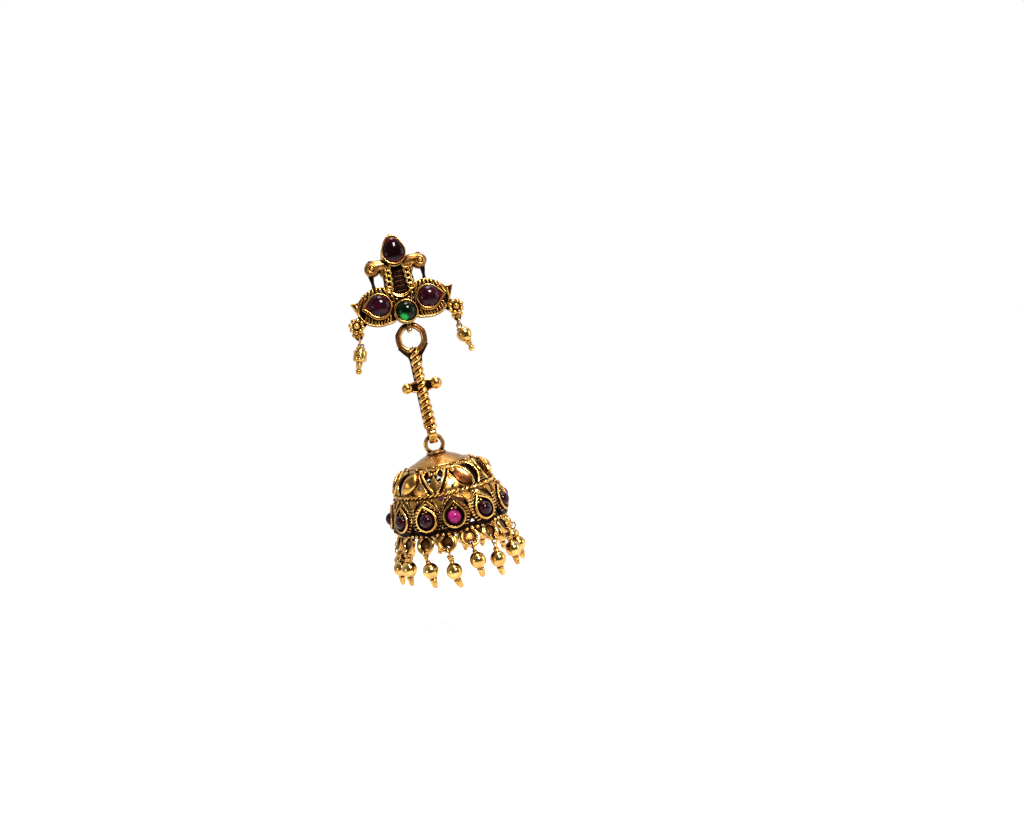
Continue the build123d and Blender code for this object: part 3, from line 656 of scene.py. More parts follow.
def addScallops(side):      # a chain of small hoops beside the spine
    side.slab(even(scallops["backing"], 80), 0.18, 1.3, 0.12, onStud, stain=1.0)
    for step in range(scallops["count"]):
        x, z = scallops["x"] + scallops["drift"][step], scallops["top"] - scallops["step"] * step
        side.hoop(studPoint(x, z, 1.66), (0, -1, 0), scallops["r"], scallops["wire"], 26, 9, oval=1.08,
                  stain=-0.15)
        side.bar(studPoint(x - 0.3, z + 0.58, 1.8), studPoint(x + 0.42, z + 0.5, 1.75), scallops["linkWire"],
                 stain=-0.2)
        side.ball(studPoint(x, z, 1.3), 0.3, 10, (1, 0.3, 1), stain=1.0)
        side.ball(studPoint(x + 0.85, z - 0.45, 1.2), 0.3, 10, stain=0.5)
    side.ball(studPoint(2.05, 4.45, 1.5), 0.55, 14, (1.1, 0.8, 0.8), stain=0.05)


rosette = {     # the grains below it: right, up, radius, stain
    "x": 10.2, "z": -6.5, "r": 1.18, "petals": 8, "petalR": 0.55, "middleR": 0.64, "lugZ": -8.55,
    "lugR": 0.58, "lugWire": 0.22, "arm": [(8.0, -6.2), (8.3, -4.2), (9.6, -4.9), (10.2, -6.2), (9.2, -7.2)],
    "grains": [(-0.7, -1.7, 0.5, 0.05), (0.05, -1.85, 0.58, 0.05), (0.8, -1.55, 0.52, 0.05),
               (0.45, -1.1, 0.34, 0.4), (-0.4, -1.15, 0.34, 0.4)]}


def addRosette(side):
    x, z, r = rosette["x"], rosette["z"], rosette["r"]
    side.slab(circle((x, z), 1.3, 40), 0.06, 1.3, 0.2, onStud, stain=0.45)
    side.ball(studPoint(x, z, 1.8), rosette["middleR"], 18, stain=-0.1)
    side.hoop(studPoint(x, z, 1.45), (0, -1, 0), 0.66, 0.1, 28, 6, stain=0.3)
    for step in range(rosette["petals"]):
        turn = radians(45 * step + 20)
        petal = studPoint(x + r * cos(turn), z + r * sin(turn), 1.32 + chance.uniform(-0.08, 0.08))
        side.ball(petal, rosette["petalR"] * chance.uniform(0.93, 1.05), 14, stain=-0.1)
    for right, up, grainR, stain in rosette["grains"]:
        side.ball(studPoint(x + right, z + up, 0.8), grainR, 12, stain=stain)
    side.slab(even(rosette["arm"], 50), 0.2, 1.0, 0.2, onStud, stain=0.85)
    side.hoop(studPoint(x, rosette["lugZ"], 0.75), (0, 1, 0), rosette["lugR"], rosette["lugWire"], 28, 9,
              stain=0.35)


spine = {
    "panel": [(-2.1, -3.6), (2.1, -3.6), (1.5, 0.5), (1.4, 4.8), (-1.4, 4.8), (-1.5, 0.5)], "rows": 6,
    "top": 3.9, "step": 1.02, "barWire": 0.12, "blocks": 3, "blockR": 0.3, "blockStep": 0.8,
    "blockFront": 1.34, "saddleWire": 0.13,
    "saddles": [dict(depth=1.75, z=-1.75, wide=1.75), dict(depth=1.9, z=-2.15, wide=1.45)],
    "grains": [(2.05, -2.0, 0.3), (1.2, -2.75, 0.26), (2.2, -3.1, 0.22)],
    "shelf": [(-3.4, -6.6), (3.4, -6.6), (3.2, -2.2), (-3.2, -2.2)]}


def addSpine(body):     # rows of little blocks between cross wires
    body.slab(even(spine["panel"], 80), 0.12, 1.2, 0.1, onStud, stain=1.0)
    for row in range(spine["rows"]):
        z = spine["top"] - spine["step"] * row
        end = studPoint(1.25, z + chance.uniform(-0.08, 0.08), 1.2)
        body.bar(studPoint(-1.25, z, 1.2), end, spine["barWire"], stain=0.5)
        for step in range(spine["blocks"]):
            x = -0.85 + spine["blockStep"] * step + (0.2 if row % 2 else -0.08)
            block = circle((x, z - 0.5), spine["blockR"], 20)
            body.slab(block, 1.0, spine["blockFront"] + chance.uniform(-0.08, 0.1), 0.14, onStud,
                      stain=chance.uniform(0.62, 0.95))
    for saddle in spine["saddles"]:
        wide, low = saddle["wide"], saddle["z"]
        line = [(-wide, low + 0.28), (-wide * 0.55, low - 0.12), (0, low - 0.3), (wide * 0.55, low - 0.12),
                (wide, low + 0.28)]
        body.tube(onStud(smooth(line, 30), saddle["depth"]), spine["saddleWire"], 8, stain=-0.12)
    for x, z, r in spine["grains"]:
        for side in (-1, 1):
            body.ball(studPoint(side * x, z, 1.6), r, 12, stain=-0.1)
    body.slab(even(spine["shelf"], 60), 0.06, 1.3, 0.1, onStud, stain=0.9)


def addSettings(body):
    pear, spot = stud["topPear"], stud["green"]
    addBezel(body, pearLine(pear["r"], pear["tip"], 96, pear["point"]) + (pear["x"], pear["z"]), pear)
    addBezel(body, circle((spot["x"], spot["z"]), spot["r"], 96), spot)
    top = pear["z"] + pear["tip"]
    body.ball(studPoint(0, top + 0.25, 1.8), 0.4, 14, (1, 1, 0.85), stain=-0.1)
    for side in (-1, 1):
        body.ball(studPoint(side * 0.5, top - 0.02, 1.7), 0.3, 12, stain=-0.05)


barLug = {"pivot": -9.36, "pinR": 0.35, "halfWide": 0.4, "legs": [(0, 0.45, -7.0), (1.75, 2.2, -7.6)],
          "capR": 0.46}


def addBarLug(body):        # a pin between two legs carries the bar's ring
    pivot, half = barLug["pivot"], barLug["halfWide"]
    body.tube([(0, -0.02, pivot), (0, -1.1, pivot), (0, -2.2, pivot)], barLug["pinR"], 14, stain=0.2)
    for back, front, top in barLug["legs"]:
        leg = even([(-half, pivot), (half, pivot), (half, top), (-half, top)], 32)
        body.slab(leg, back, front, 0.1, onStud, stain=0.2)
    body.ball(studPoint(0, pivot - 0.05, 2.05), barLug["capR"], 14, (1.05, 0.5, 0.9), stain=0.1)


studCasting, half = Casting(), Casting()
for addPart in (addWing, addTail, addHead, addScallops, addRosette):
    addPart(half)
studCasting.join(half)
studCasting.join(half, mirrored=True)
for addPart in (addSpine, addSettings, addBarLug):
    addPart(studCasting)
studPiece = studCasting.make("studCasting", finishes["castGold"])
attach(studPiece, "stud", "stud_casting")
print("stud made", len(studPiece.data.polygons))


# the pieces hanging from the stud's ends

drops = {"ringR": 0.85, "ringWire": 0.2, "eyeR": 0.5, "wire": 0.17, "coilR": 0.62, "tail": 1.6, "lumpR": 0.82,
         "lean": 17, "length": 2.1, "beadR": 1.3, "knotAt": 3.05, "knotR": 0.64}
dropShapes = {      # a collared barrel and a pear: radius, and distance below the bead's middle
    "left": [(0.2, -1.6), (0.7, -1.85), (0.98, -1.72), (0.98, -1.5), (0.8, -1.36), (0.84, -1.18),
             (1.25, -1.1), (1.38, -0.92), (1.38, 0.85), (1.22, 1.08), (0.75, 1.2), (0.2, 1.15)],
    "right": [(0.2, -1.2), (0.6, -1.3), (1.15, -1.1), (1.5, -0.6), (1.56, -0.05), (1.36, 0.5), (1.38, 0.62),
              (1.0, 1.1), (0.7, 1.5), (0.2, 1.5)]}
pinTail = {     # shares of lumpR and of the tail's length
    "size": [0.02, 0.66, 0.8, 0.72, 0.62, 0.54, 0.46, 0.02],
    "at": [-0.08, 0, 0.2, 0.42, 0.62, 0.8, 0.95, 1.04],
    "coil": (0.06, 0.7), "coilR": (0.72, 0.5), "turns": 2.6}


def aim(start, end):        # a frame whose third way runs from start to end
    down = unit(np.asarray(end, float) - start)
    side = unit(np.cross((0, 1, 0) if abs(down[1]) < 0.9 else (1, 0, 0), down))
    return side, np.cross(down, side), down


def turnedShape(casting, profile, start, end, count=28, stain=0.0):     # profile: radius, distance from start
    side, front, down = aim(start, end)
    profile = np.asarray(profile, float)
    stains = np.tile(np.broadcast_to(stain, len(profile)), (count, 1)).ravel()
    rings = []
    for turn in fullTurn(count):
        way = cos(turn) * side + sin(turn) * front
        rings.append(start + profile[:, :1] * way + profile[:, 1:] * down)
    casting.rings(rings, stains, along=True, around=False)


def coil(casting, start, end, r0, r1, turns, wire, begin=0.0, stain=0.0):
    side, front, down = aim(start, end)
    t = np.linspace(0, 1, int(turns * 14) + 2)[:, None]
    turn, r = begin + t * turns * 2 * pi, r0 + (r1 - r0) * t
    reach = np.linalg.norm(np.asarray(end, float) - start)
    path = start + r * np.cos(turn) * side + r * np.sin(turn) * front + t * reach * down
    casting.tube(path, wire, 7, stain=stain)


def beadProfile(r, hole, length):       # a drilled ball, from its upper hole to its lower one
    edge = asin(hole / r)
    turn = np.linspace(edge, pi - edge, 30)
    ball = np.stack([r * np.sin(turn), length - r * np.cos(turn)], 1)
    inner = hole * 0.72
    top, low = length - r * cos(edge), length + r * cos(edge)
    return np.vstack([[(inner, low - 0.5), (inner, top + 0.5), (inner * 1.05, top + 0.12)], ball,
                      [(inner * 1.05, low - 0.12), (inner, low - 0.5)]])


def pinNeck(casting, eye, top, collar, across, turns, look, kind):       # between the pin's eye and its bead
    wire, coilR, down = look["wire"], look["coilR"], unit(collar - eye)
    if kind == "thick":
        coil(casting, top, collar, coilR * 0.8, coilR * 0.55, turns, wire)
        casting.rod(top, collar, coilR * 0.85, coilR * 0.6, 12, stain=0.1)
    elif kind == "open":        # the wire runs down as a long V before it is wrapped
        for way in (-1, 1):
            start = eye + across * look["eyeR"] * 0.95 * way
            casting.rod(start, collar - down * 0.35 + across * 0.12 * way, wire * 0.95, sides=9)
        coil(casting, collar - down * 0.6, collar, 0.4, 0.46, 2.2, wire)
    else:
        casting.rod(top, collar, wire * 1.15, wire * 1.1, 10, stain=-0.05)
        coil(casting, collar - down * 0.42, collar, 0.3, 0.42, 1.6, wire)


def hangingPin(casting, eye, bead, eyeAxis, look, beadR, tailWay, neck):
    down, reach, wire, lumpR = unit(bead - eye), np.linalg.norm(bead - eye), look["wire"], look["lumpR"]
    axis = unit(np.asarray(eyeAxis) - down * (down @ eyeAxis))
    casting.hoop(eye, axis, look["eyeR"], wire, 30, 9, up=down, stain=-0.1)
    top, collar = eye + down * (look["eyeR"] + wire * 0.3), eye + down * (reach - beadR + 0.12)
    turns = max(reach - beadR - look["eyeR"], 0.5) / (wire * 2.4)
    pinNeck(casting, eye, top, collar, np.cross(axis, down), turns, look, neck)
    foot = bead + down * (beadR - 0.15)
    along = unit(down + tailWay) * look["tail"]
    lump = np.stack([lumpR * np.array(pinTail["size"]), look["tail"] * np.array(pinTail["at"])], 1)
    turnedShape(casting, smooth(lump, 26), foot, foot + along, 20, 0.15)
    start, end = pinTail["coil"]
    wide, narrow = pinTail["coilR"]
    coil(casting, foot + along * start, foot + along * end, lumpR * wide, lumpR * narrow, pinTail["turns"],
         wire * 0.95, begin=reach * 5, stain=-0.15)


def sideDrop(name, side):
    ring, pin, bead = Casting(), Casting(), Casting()
    lean = radians(drops["lean"])
    down = np.array([sin(lean) * side, 0, -cos(lean)])
    beadAt = nodeMiddle("side_bead_" + name)
    eyeAt = beadAt - down * drops["length"]
    ring.hoop(nodeMiddle("side_ring_" + name), (1, 0, 0), drops["ringR"], drops["ringWire"], 36, 10)
    hangingPin(pin, eyeAt, beadAt, (0, 1, 0), drops, drops["beadR"], (0.1 * side, 0, 0),
               "thick" if name == "left" else "thin")
    pin.ball(beadAt + down * drops["knotAt"], drops["knotR"], 18, stain=-0.1)
    coil(pin, eyeAt + down * 0.55, eyeAt + down * 1.05, 0.72, 0.8, 1.4, 0.2)
    turnedShape(bead, np.array(dropShapes[name]) + (0, drops["length"]), eyeAt, beadAt, 36)
    if name == "left":      # a small ringed dot on the barrel
        dotAt = beadAt + (0, -1.3, 0)
        bead.hoop(dotAt, (0, -1, 0), 0.7, 0.13, 30, 8)
        bead.ball(dotAt + (0, 0.12, 0), 0.5, 14, (1, 0.6, 1))
    attach(ring.make("sideRing_" + name, finishes["wireGold"]), "stud", "side_ring_" + name)
    attach(pin.make("sidePin_" + name, finishes["wireGold"]), "stud", "side_pin_" + name)
    attach(bead.make("sideBead_" + name, finishes["beadGold"], 55), "stud", "side_bead_" + name)


sideDrop("left", -1)
sideDrop("right", 1)
print("side drops made")


# the post that goes through the ear

post = {"r": 0.42, "long": 11.0, "grooveFrom": 8.6, "grooveTo": 9.3, "footR": 1.4, "footDeep": 0.4}


def postProfile():      # radius, distance from the stud's back
    r, long, footR, deep = post["r"], post["long"], post["footR"], post["footDeep"]
    groove = [(r, post["grooveFrom"]), (r - 0.1, post["grooveFrom"] + 0.15),
              (r - 0.1, post["grooveTo"] - 0.15), (r, post["grooveTo"])]
    return [(0.01, 0.0), (footR - 0.1, 0.0), (footR, 0.1), (footR - 0.08, deep - 0.08), (footR - 0.25, deep),
            (r + 0.25, deep + 0.02), (r, 0.75), *groove, (r, long), (r * 0.7, long + 0.3), (0.01, long + r)]


postCasting = Casting()
turnedShape(postCasting, postProfile(), np.zeros(3), np.array([0.0, 1.0, 0.0]), 40)
attach(postCasting.make("earPost", finishes["postMetal"], 35), "stud", "ear_post")


# the stud's stones, with domed fronts

stones = {"seatGap": 0.04, "gap": 0.03, "domeSteps": (6, 12, 19, 27, 36, 45, 54, 63, 72, 80, 86),
          "glowFrom": 0.88, "glowSpan": 0.3, "glowMost": 0.9}


def cabochon(name, line, centre, edge, high, finish, node, ball=None):
    centre, base = np.asarray(centre, float), stud["seat"] + stones["seatGap"]
    spokes = line - centre
    reach = np.linalg.norm(spokes, axis=1)
    rings = [onStud(centre + spokes * 0.985, base), onStud(line, base + 0.08), onStud(line, base + edge)]
    shares = [1, 1, 1]
    for t in np.radians(stones["domeSteps"]):
        if ball:        # the dome sits over the round end, and the point stays low
            round2 = np.clip(1 - (reach * cos(t) / ball) ** 2, 0, 1)
            depth = base + edge + high * np.sqrt(round2) + 0.12 * sin(t)
        else:
            depth = base + edge + high * sin(t)
        rings.append(onStud(centre + spokes * cos(t), depth))
        shares.append(cos(t))
    # painted glow: the stain rises towards the stone's rim, where it shows the lighter edge colour as light
    # shining through
    bright = (np.outer(shares, reach / reach.min()) - stones["glowFrom"]) / stones["glowSpan"]
    stone = Casting()
    stone.rings(rings, np.clip(bright, 0, stones["glowMost"]).ravel())
    attach(stone.make(name, finishes[finish], 60), "stud", node)


def addStudStones():
    pear, gap = stud["wingPear"], stones["gap"]
    r = pear["r"] - pear["wall"] - gap
    line = turned(pearLine(r, pear["tip"] - pear["wall"] - 0.12, 96, 0.12), -90) + (pear["x"], pear["z"])
    for name, side in (("Left", -1), ("Right", 1)):
        cabochon("wingStone" + name, (line * (side, 1))[::side], (side * pear["x"], pear["z"]), 0.85, 1.3,
                 "purpleStone", "stone_" + name.lower(), r)
    pear = stud["topPear"]
    r, tip = pear["r"] - pear["wall"] - gap, pear["tip"] - pear["wall"] - 0.05
    line = pearLine(r, tip, 96, 1.42) + (0, pear["z"])
    cabochon("topStone", line, (0, pear["z"] + 0.25), 0.9, 1.2, "garnetStone", "stone_top")
    spot = stud["green"]
    line = circle((spot["x"], spot["z"]), spot["r"] - spot["wall"] - gap, 96)
    cabochon("greenStone", line, (spot["x"], spot["z"]), 0.7, 1.6, "greenStone", "stone_green")


addStudStones()
print("stones of the stud made")


# the twisted bar with its ring, cross arms and eye

bar = {"ringZ": -10.95, "ringOuter": 3.22, "ringInner": 2.03, "ringDeep": 1.1, "ropeTop": -12.9,
       "ropeLow": -29.6, "lobes": 13, "halfTop": 1.18, "halfMid": 1.06, "halfLow": 1.4, "lobeWire": 0.5,
       "coreInset": 0.5, "shoulder": [(2.75, -12.3), (1.9, -13.5), (1.1, -14.6), (0.9, -16.0)]}


def barRing(casting):       # eight slight flats, with worn edges and darker faces
    half, outer, inner = bar["ringDeep"] / 2, bar["ringOuter"], bar["ringInner"]
    section = [(inner + 0.28, -half, 0.12), (inner + 0.62, -half, 0.38), (outer - 0.42, -half + 0.02, 0.3),
               (outer - 0.1, -half + 0.2, 0.42), (outer, -half + 0.4, 0.7), (outer, half - 0.3, 0.6),
               (outer - 0.42, half, 0.2), (inner + 0.16, half, 0.2), (inner, half - 0.2, 0.5),
               (inner, -half + 0.35, 0.5), (inner + 0.1, -half + 0.15, 0.1)]
    rings = []
    for turn in fullTurn(96):
        facet = cos(pi / 8) / cos((turn + pi / 8) % (pi / 4) - pi / 8)
        grow = 1 + (facet - 0.955) * 0.45
        across, up = grow * sin(turn), grow * cos(turn)
        rings.append([(r * across, hangY + y, bar["ringZ"] + r * up) for r, y, _ in section])
    casting.rings(rings, np.tile([row[2] for row in section], 96), along=True)
    for side in (-1, 1):        # shoulders that run down into the rope
        shoulder = smooth(bar["shoulder"], 20) * (side, 1)
        casting.tube(onBar(shoulder, -0.15), np.linspace(0.5, 0.34, 20), 10, stain=0.55)


def ropeHalf(z):        # half the rope's width
    t = (bar["ropeTop"] - np.asarray(z)) / (bar["ropeTop"] - bar["ropeLow"])
    return np.interp(t, (0, 0.5, 1), (bar["halfTop"], bar["halfMid"], bar["halfLow"]))


def barRope(casting):      # two strands, each crossing in front as a fat slanting lobe with a slit
    top, low, lobe = bar["ropeTop"], bar["ropeLow"], bar["lobeWire"]
    lead = 2 * (top - low) / bar["lobes"]
    core = []
    for h in np.linspace(low - 0.3, top, 24):
        r = ropeHalf(h) - bar["coreInset"]
        core.append([(r * cos(a), hangY + r * sin(a), h) for a in fullTurn(20)])
    casting.rings(core, 1.0)
    z = np.linspace(low - 0.1, top + 0.1, 320)
    zero = np.zeros_like(z)
    swell = np.interp(z, (low - 0.1, low + 0.35, top - 0.35, top + 0.1), (0.4, 1, 1, 0.4))
    around = fullTurn(18)
    dip = np.exp(-(np.minimum(around, 2 * pi - around) / 0.26) ** 2)
    for strand in range(2):
        turn = 2 * pi * z / lead + pi * strand
        out = np.stack([np.sin(turn), -np.cos(turn), zero], 1)
        r = (ropeHalf(z) - lobe)[:, None]
        ahead = np.stack([np.cos(turn), np.sin(turn), zero], 1) * r * 2 * pi / lead + (0, 0, 1)
        across = np.cross(ahead / np.linalg.norm(ahead, axis=1)[:, None], out)
        slit = np.clip((np.cos(turn + 0.42) - 0.86) / 0.1, 0, 1)[:, None] * dip
        wire = (lobe * swell[:, None] * (1 - 0.25 * slit))[..., None]
        middle = out * r + np.stack([zero, zero + hangY, z], 1)
        spokes = np.cos(around)[:, None] * out[:, None] + np.sin(around)[:, None] * across[:, None]
        casting.rings(middle[:, None] + wire * spokes, (1.35 * slit - 0.4).ravel())
    backing = even([(-1.2, low + 0.6), (0.95, low + 0.4), (0.95, top - 0.6), (-1.2, top - 0.6)], 80)
    casting.slab(backing, -1.0, -0.4, 0.08, onBar, stain=0.9)


arms = {"z": -20.7, "knobX": 2.95, "leftR": 1.1, "rightR": 1.2, "wires": [(-0.62, -1.18), (0.62, 1.08)],
        "plate": [(-2.6, -0.6), (-0.95, -1.2), (0.95, -1.2), (2.6, -0.6), (2.6, 0.6), (0.95, 1.1),
                  (-0.95, 1.1), (-2.6, 0.6)]}


def crossArms(casting):     # a cross plate edged with wires, and a knob at each end
    z, knobX = arms["z"], arms["knobX"]
    casting.slab(even(np.array(arms["plate"]) + (0, z), 90), -0.7, 0.15, 0.1, onBar, stain=1.0)
    for side in (-1, 1):
        for low, high in arms["wires"]:
            start, end = (side * 2.5, hangY - 0.14, z + low), (side * 0.9, hangY - 0.14, z + high)
            casting.rod(start, end, 0.2, 0.18, 9, stain=0.12)
    casting.ball((-knobX, hangY - 0.1, z), arms["leftR"], 28, (1.02, 0.92, 1.02), stain=-0.08)
    casting.hoop((0.05 - knobX, hangY - 0.92, z), (0.05, -1, 0), 0.46, 0.15, 26, 8)
    casting.ball((0.05 - knobX, hangY - 0.86, z), 0.3, 10, (1, 0.5, 1), stain=0.6)
    casting.ball((knobX, hangY - 0.12, z), arms["rightR"], 32, (1.0, 0.95, 1.04), stain=-0.08)
    casting.hoop((knobX + 0.38, hangY - 1.1, z + 0.28), (0.3, -1, 0.2), 0.2, 0.08, 16, 6)
    casting.ball((knobX + 0.38, hangY - 1.08, z + 0.28), 0.17, 8, stain=0.9)


eyeEnd = {      # across the eye: share of its half width, and distance inwards or the bore's radius
    "z": -30.75, "half": 0.85, "outlineR": 1.15, "tip": 2.0, "point": 0.75,
    "outside": [(-1, 0.12), (-0.85, 0.03), (-0.3, 0), (0.3, 0), (0.85, 0.03), (1, 0.12)],
    "bore": [(1, 1.0), (0.5, 0.8), (0, 0.62), (-0.5, 0.8), (-1, 1.0)],
    "grains": [(-0.6, -29.3, 0.3), (0.1, -29.15, 0.26), (0.75, -29.2, 0.34), (0.95, -28.85, 0.24),
               (0.4, -29.55, 0.26), (-0.95, -29.0, 0.28)]}


def barEye(casting):        # the dome's bail swings in its bore
    outline = pearLine(eyeEnd["outlineR"], eyeEnd["tip"], 96, eyeEnd["point"]) * (1, -1)
    outline = outline[::-1] + (0, eyeEnd["z"] + 0.25)
    middle = np.array([0, eyeEnd["z"]])
    ways = (outline - middle) / np.linalg.norm(outline - middle, axis=1)[:, None]
    half = eyeEnd["half"]
    loops = [(half * share, grown(outline, -inset)) for share, inset in eyeEnd["outside"]]
    loops += [(half * share, middle + ways * r) for share, r in eyeEnd["bore"]]
    casting.rings([[(x, hangY + y, z) for y, z in line] for x, line in loops], 0.05, along=True)
    for x, z, r in eyeEnd["grains"]:
        casting.ball((x, hangY - 0.85, z), r, 10)
    coil(casting, np.array([0, hangY, -29.0]), np.array([0, hangY, -29.8]), 0.85, 0.8, 2.2, 0.2, stain=0.15)


barCasting = Casting()
for addPart in (barRing, barRope, crossArms, barEye):
    addPart(barCasting)
barPiece = barCasting.make("twistBar", finishes["castGold"])
attach(barPiece, "bar", "twist_bar")
print("bar made", len(barPiece.data.polygons))


# the dome: cap, pierced gallery, band of stones, rim, loops

dome = {        # profiles are radius and height; the cap's first points are its foot under the bail
    "cap": [(0.02, -34.1), (1.75, -34.12), (1.98, -34.3)],
    "capOuter": [(2.0, -34.6), (3.4, -35.15), (4.8, -35.85), (5.9, -36.5)],
    "capInner": [(5.9, -37.0), (4.6, -36.5), (2.2, -35.6), (0.02, -35.4)], "capStain": 0.44,
    "side": [(5.9, -36.5), (7.2, -37.1), (8.2, -37.9), (9.0, -39.0), (9.5, -40.3), (9.7, -41.3),
             (10.3, -42.2), (10.9, -43.5), (11.2, -45.4), (11.05, -47.0), (10.75, -48.7)],
    "thick": 0.7, "motifs": 3, "firstMotif": -17.0, "bailR": 1.75, "bailWire": 0.42, "bailZ": -32.64,
    "ropeR": 9.75, "ropeZ": -41.25, "ropeTurns": 32, "ropeWire": 0.2, "ropeLay": 0.19, "edgeR": 5.95,
    "edgeZ": -36.5, "edgeBeads": 84, "edgeBeadR": 0.2, "rimBeads": 64, "rimBeadR": 0.38, "rimBeadAt": 11.12,
    "rimBeadZ": -48.25,
    "rim": [(10.5, -47.45), (10.9, -47.5), (10.98, -47.8), (10.9, -48.5), (10.7, -48.8), (10.3, -48.7),
            (10.35, -47.6)]}
settings = {    # three sit a little off the even spacing, and each pear leans its own way, in degrees
    "count": 12, "r": 11.3, "z": -45.4, "tilt": 12, "shift": {0: -3.2, 1: -2.6, 11: 0.8},
    "lean": (-9, 18, -5, 4, -6, 3, 5, -4, 2, -6, 5, 11), "pearR": 2.12, "pearTip": 2.85, "borderR": 2.9,
    "borderTip": 3.7, "openBack": 0.9, "opening": 1.9, "ballR": 1.38, "pinkR": 1.24, "pink": (0, 3, 6),
    "plain": (5, 6),        # after these the band between settings is left smooth
    "gaps": [dict(at=19, z=-41.75, line=[(-0.3, 0), (0, -0.4), (0.3, 0)]),
             dict(at=12, z=-43.1, line=[(-0.5, 0), (-0.35, -0.95), (0.45, -0.5), (0.1, 0.3)]),
             dict(at=15, z=-47.35, line=[(-0.9, 0), (0.9, 0), (0, 1.3)])],
    "wideGap": [(-0.85, 0), (-0.5, -0.7), (0.7, -0.6), (0.95, 0)], "wideAfter": 11}
gallery = {     # degrees from a motif's middle, and height
    "wires": [
        dict(wire=0.27, proud=0.3, path=[(1.7, -40.95), (5.0, -40.15), (9.2, -39.1), (13.4, -38.1),
                                         (17.6, -37.1)]),
        dict(wire=0.2, proud=0.15, path=[(8.6, -40.95), (11.0, -40.2), (14.6, -39.2), (18.6, -38.2),
                                         (21.5, -37.3)]),
        dict(wire=0.27, proud=0.35, path=[(45.0, -37.15), (51.0, -37.2), (55.6, -37.8), (57.0, -38.8),
                                          (55.0, -39.9), (51.0, -40.8)]),
        dict(wire=0.2, proud=0.25, path=[(4.4, -38.1), (5.4, -37.55), (8.2, -37.25), (11.5, -37.3),
                                         (13.2, -37.75)])],
    "holes": [      # see-through gaps, with their half width and half height right and left of the middle
        dict(at=6.6, z=-38.7, turn=14, right=(0.6, 0.75), left=(0.6, 0.75)),
        dict(at=19.6, z=-39.68, turn=0, right=(0.78, 1.02), left=(0.3, 0.6)),
        dict(at=45.5, z=-39.0, turn=-35, right=(0.4, 0.7), left=(0.3, 0.6))],
    "dark": [       # outlines of the hollows between the wires, painted with shade, and how dark the painted shade is
        dict(stain=1.0, line=[(0, -37.0), (17.2, -37.0), (13.6, -38.0), (11.0, -38.5), (7.0, -38.2),
                              (3.2, -38.5), (0, -38.4)]),
        dict(stain=1.0, line=[(17.8, -37.2), (21.3, -37.4), (14.2, -39.2), (8.0, -41.0), (3.0, -41.0),
                              (9.6, -39.1)]),
        dict(stain=0.9, line=[(22.0, -37.2), (27.0, -37.0), (25.2, -38.6), (22.6, -38.3)]),
        dict(stain=1.0, line=[(36.0, -36.9), (50.0, -37.1), (56.0, -37.9), (57.0, -38.8), (55.0, -39.9),
                              (51.0, -40.8), (46.5, -41.0), (47.0, -40.0), (42.0, -38.6), (38.0, -38.0)]),
        dict(stain=0.5, line=[(24.5, -41.0), (28.0, -39.8), (33.0, -41.0)]),
        dict(stain=1.0, line=[(52.5, -41.0), (56.5, -39.7), (60.1, -39.4), (60.1, -41.0)])],
    "beads": [(2.2, -37.75, 0.34), (13.6, -37.6, 0.24), (20.3, -37.2, 0.34), (1.2, -37.2, 0.24),
              (58.0, -37.3, 0.3)],
    "petal": [(-0.55, 0.75), (0.35, 0.85), (0.75, 0.0), (0.6, -0.95), (-0.2, -1.1), (-0.6, -0.2)],
    "tongue": [(0.0, 1.3), (-0.95, -0.5), (-0.85, -1.2), (-0.4, -1.85), (0.4, -1.85), (0.85, -1.2),
               (0.95, -0.5)],
    "dots": [(-39.7, 3), (-40.15, 4), (-40.6, 5)], "dotR": 0.21, "dotStep": 3.0,
    "openPetals": ((1, 1), (2, -1)), "openDots": 1}     # motifs where the wall stays open to the light
sideCurve = smooth(dome["side"], 140)
motifMiddles = [dome["firstMotif"] + 120 * motif for motif in range(dome["motifs"])]


def sideR(z):       # the wall's outer radius at a height
    return np.interp(-z, -sideCurve[:, 1], sideCurve[:, 0])


def domePoint(angle, r, z):     # the angle runs from the front towards +X, in radians
    return np.array([r * sin(angle), hangY - r * cos(angle), z])


def wallPoint(azimuth, z, proud=0.0):
    z = np.asarray(z, float)
    slope = np.interp(-z, -sideCurve[:, 1], np.gradient(sideCurve[:, 0]) / -np.gradient(sideCurve[:, 1]))
    long = np.sqrt(1 + slope ** 2)
    r, z, a = sideR(z) + proud / long, z + proud * slope / long, np.radians(azimuth)
    return np.stack(np.broadcast_arrays(r * np.sin(a), hangY - r * np.cos(a), z), -1)


def onWall(middle, height, turn=0.0):       # drawings in millimetres laid on the curved wall
    about = float(sideR(height))

    def place(line, depth):
        line = turned(np.asarray(line, float), turn)
        return wallPoint(middle + np.degrees(line[:, 0] / about), height + line[:, 1], depth)
    return place


def station(azimuth, r, z, tilt=0.0):       # drawings on a flat that leans against the wall
    a, t = radians(azimuth), radians(tilt)
    right, out = np.array([cos(a), sin(a), 0]), np.array([sin(a) * cos(t), -cos(a) * cos(t), sin(t)])
    up, origin = np.cross(out, right), domePoint(a, r, z)

    def place(line, depth):
        line = np.asarray(line, float)
        return origin + line[:, :1] * right + line[:, 1:] * up + np.reshape(depth, (-1, 1)) * out
    return place


def settingPlace(step):
    azimuth = 30 * step + settings["shift"].get(step, 0.0)
    return station(azimuth, settings["r"], settings["z"], settings["tilt"])


def punch(cutters, place, line, back, front):
    cutters.rings([place(line, back), place(line, front)])


def farGap(cutters, place, line):       # a matching gap in the far wall lets light through to the viewer
    middle = place(np.zeros((1, 2)), 0.0)[0]
    at = place(np.zeros((1, 2)), 1.2)[0]
    way = unit(at - shot["place"])
    cutters.rings([at + way * reach + (place(line * 1.5, 0.0) - middle) for reach in (13.0, 24.0)])


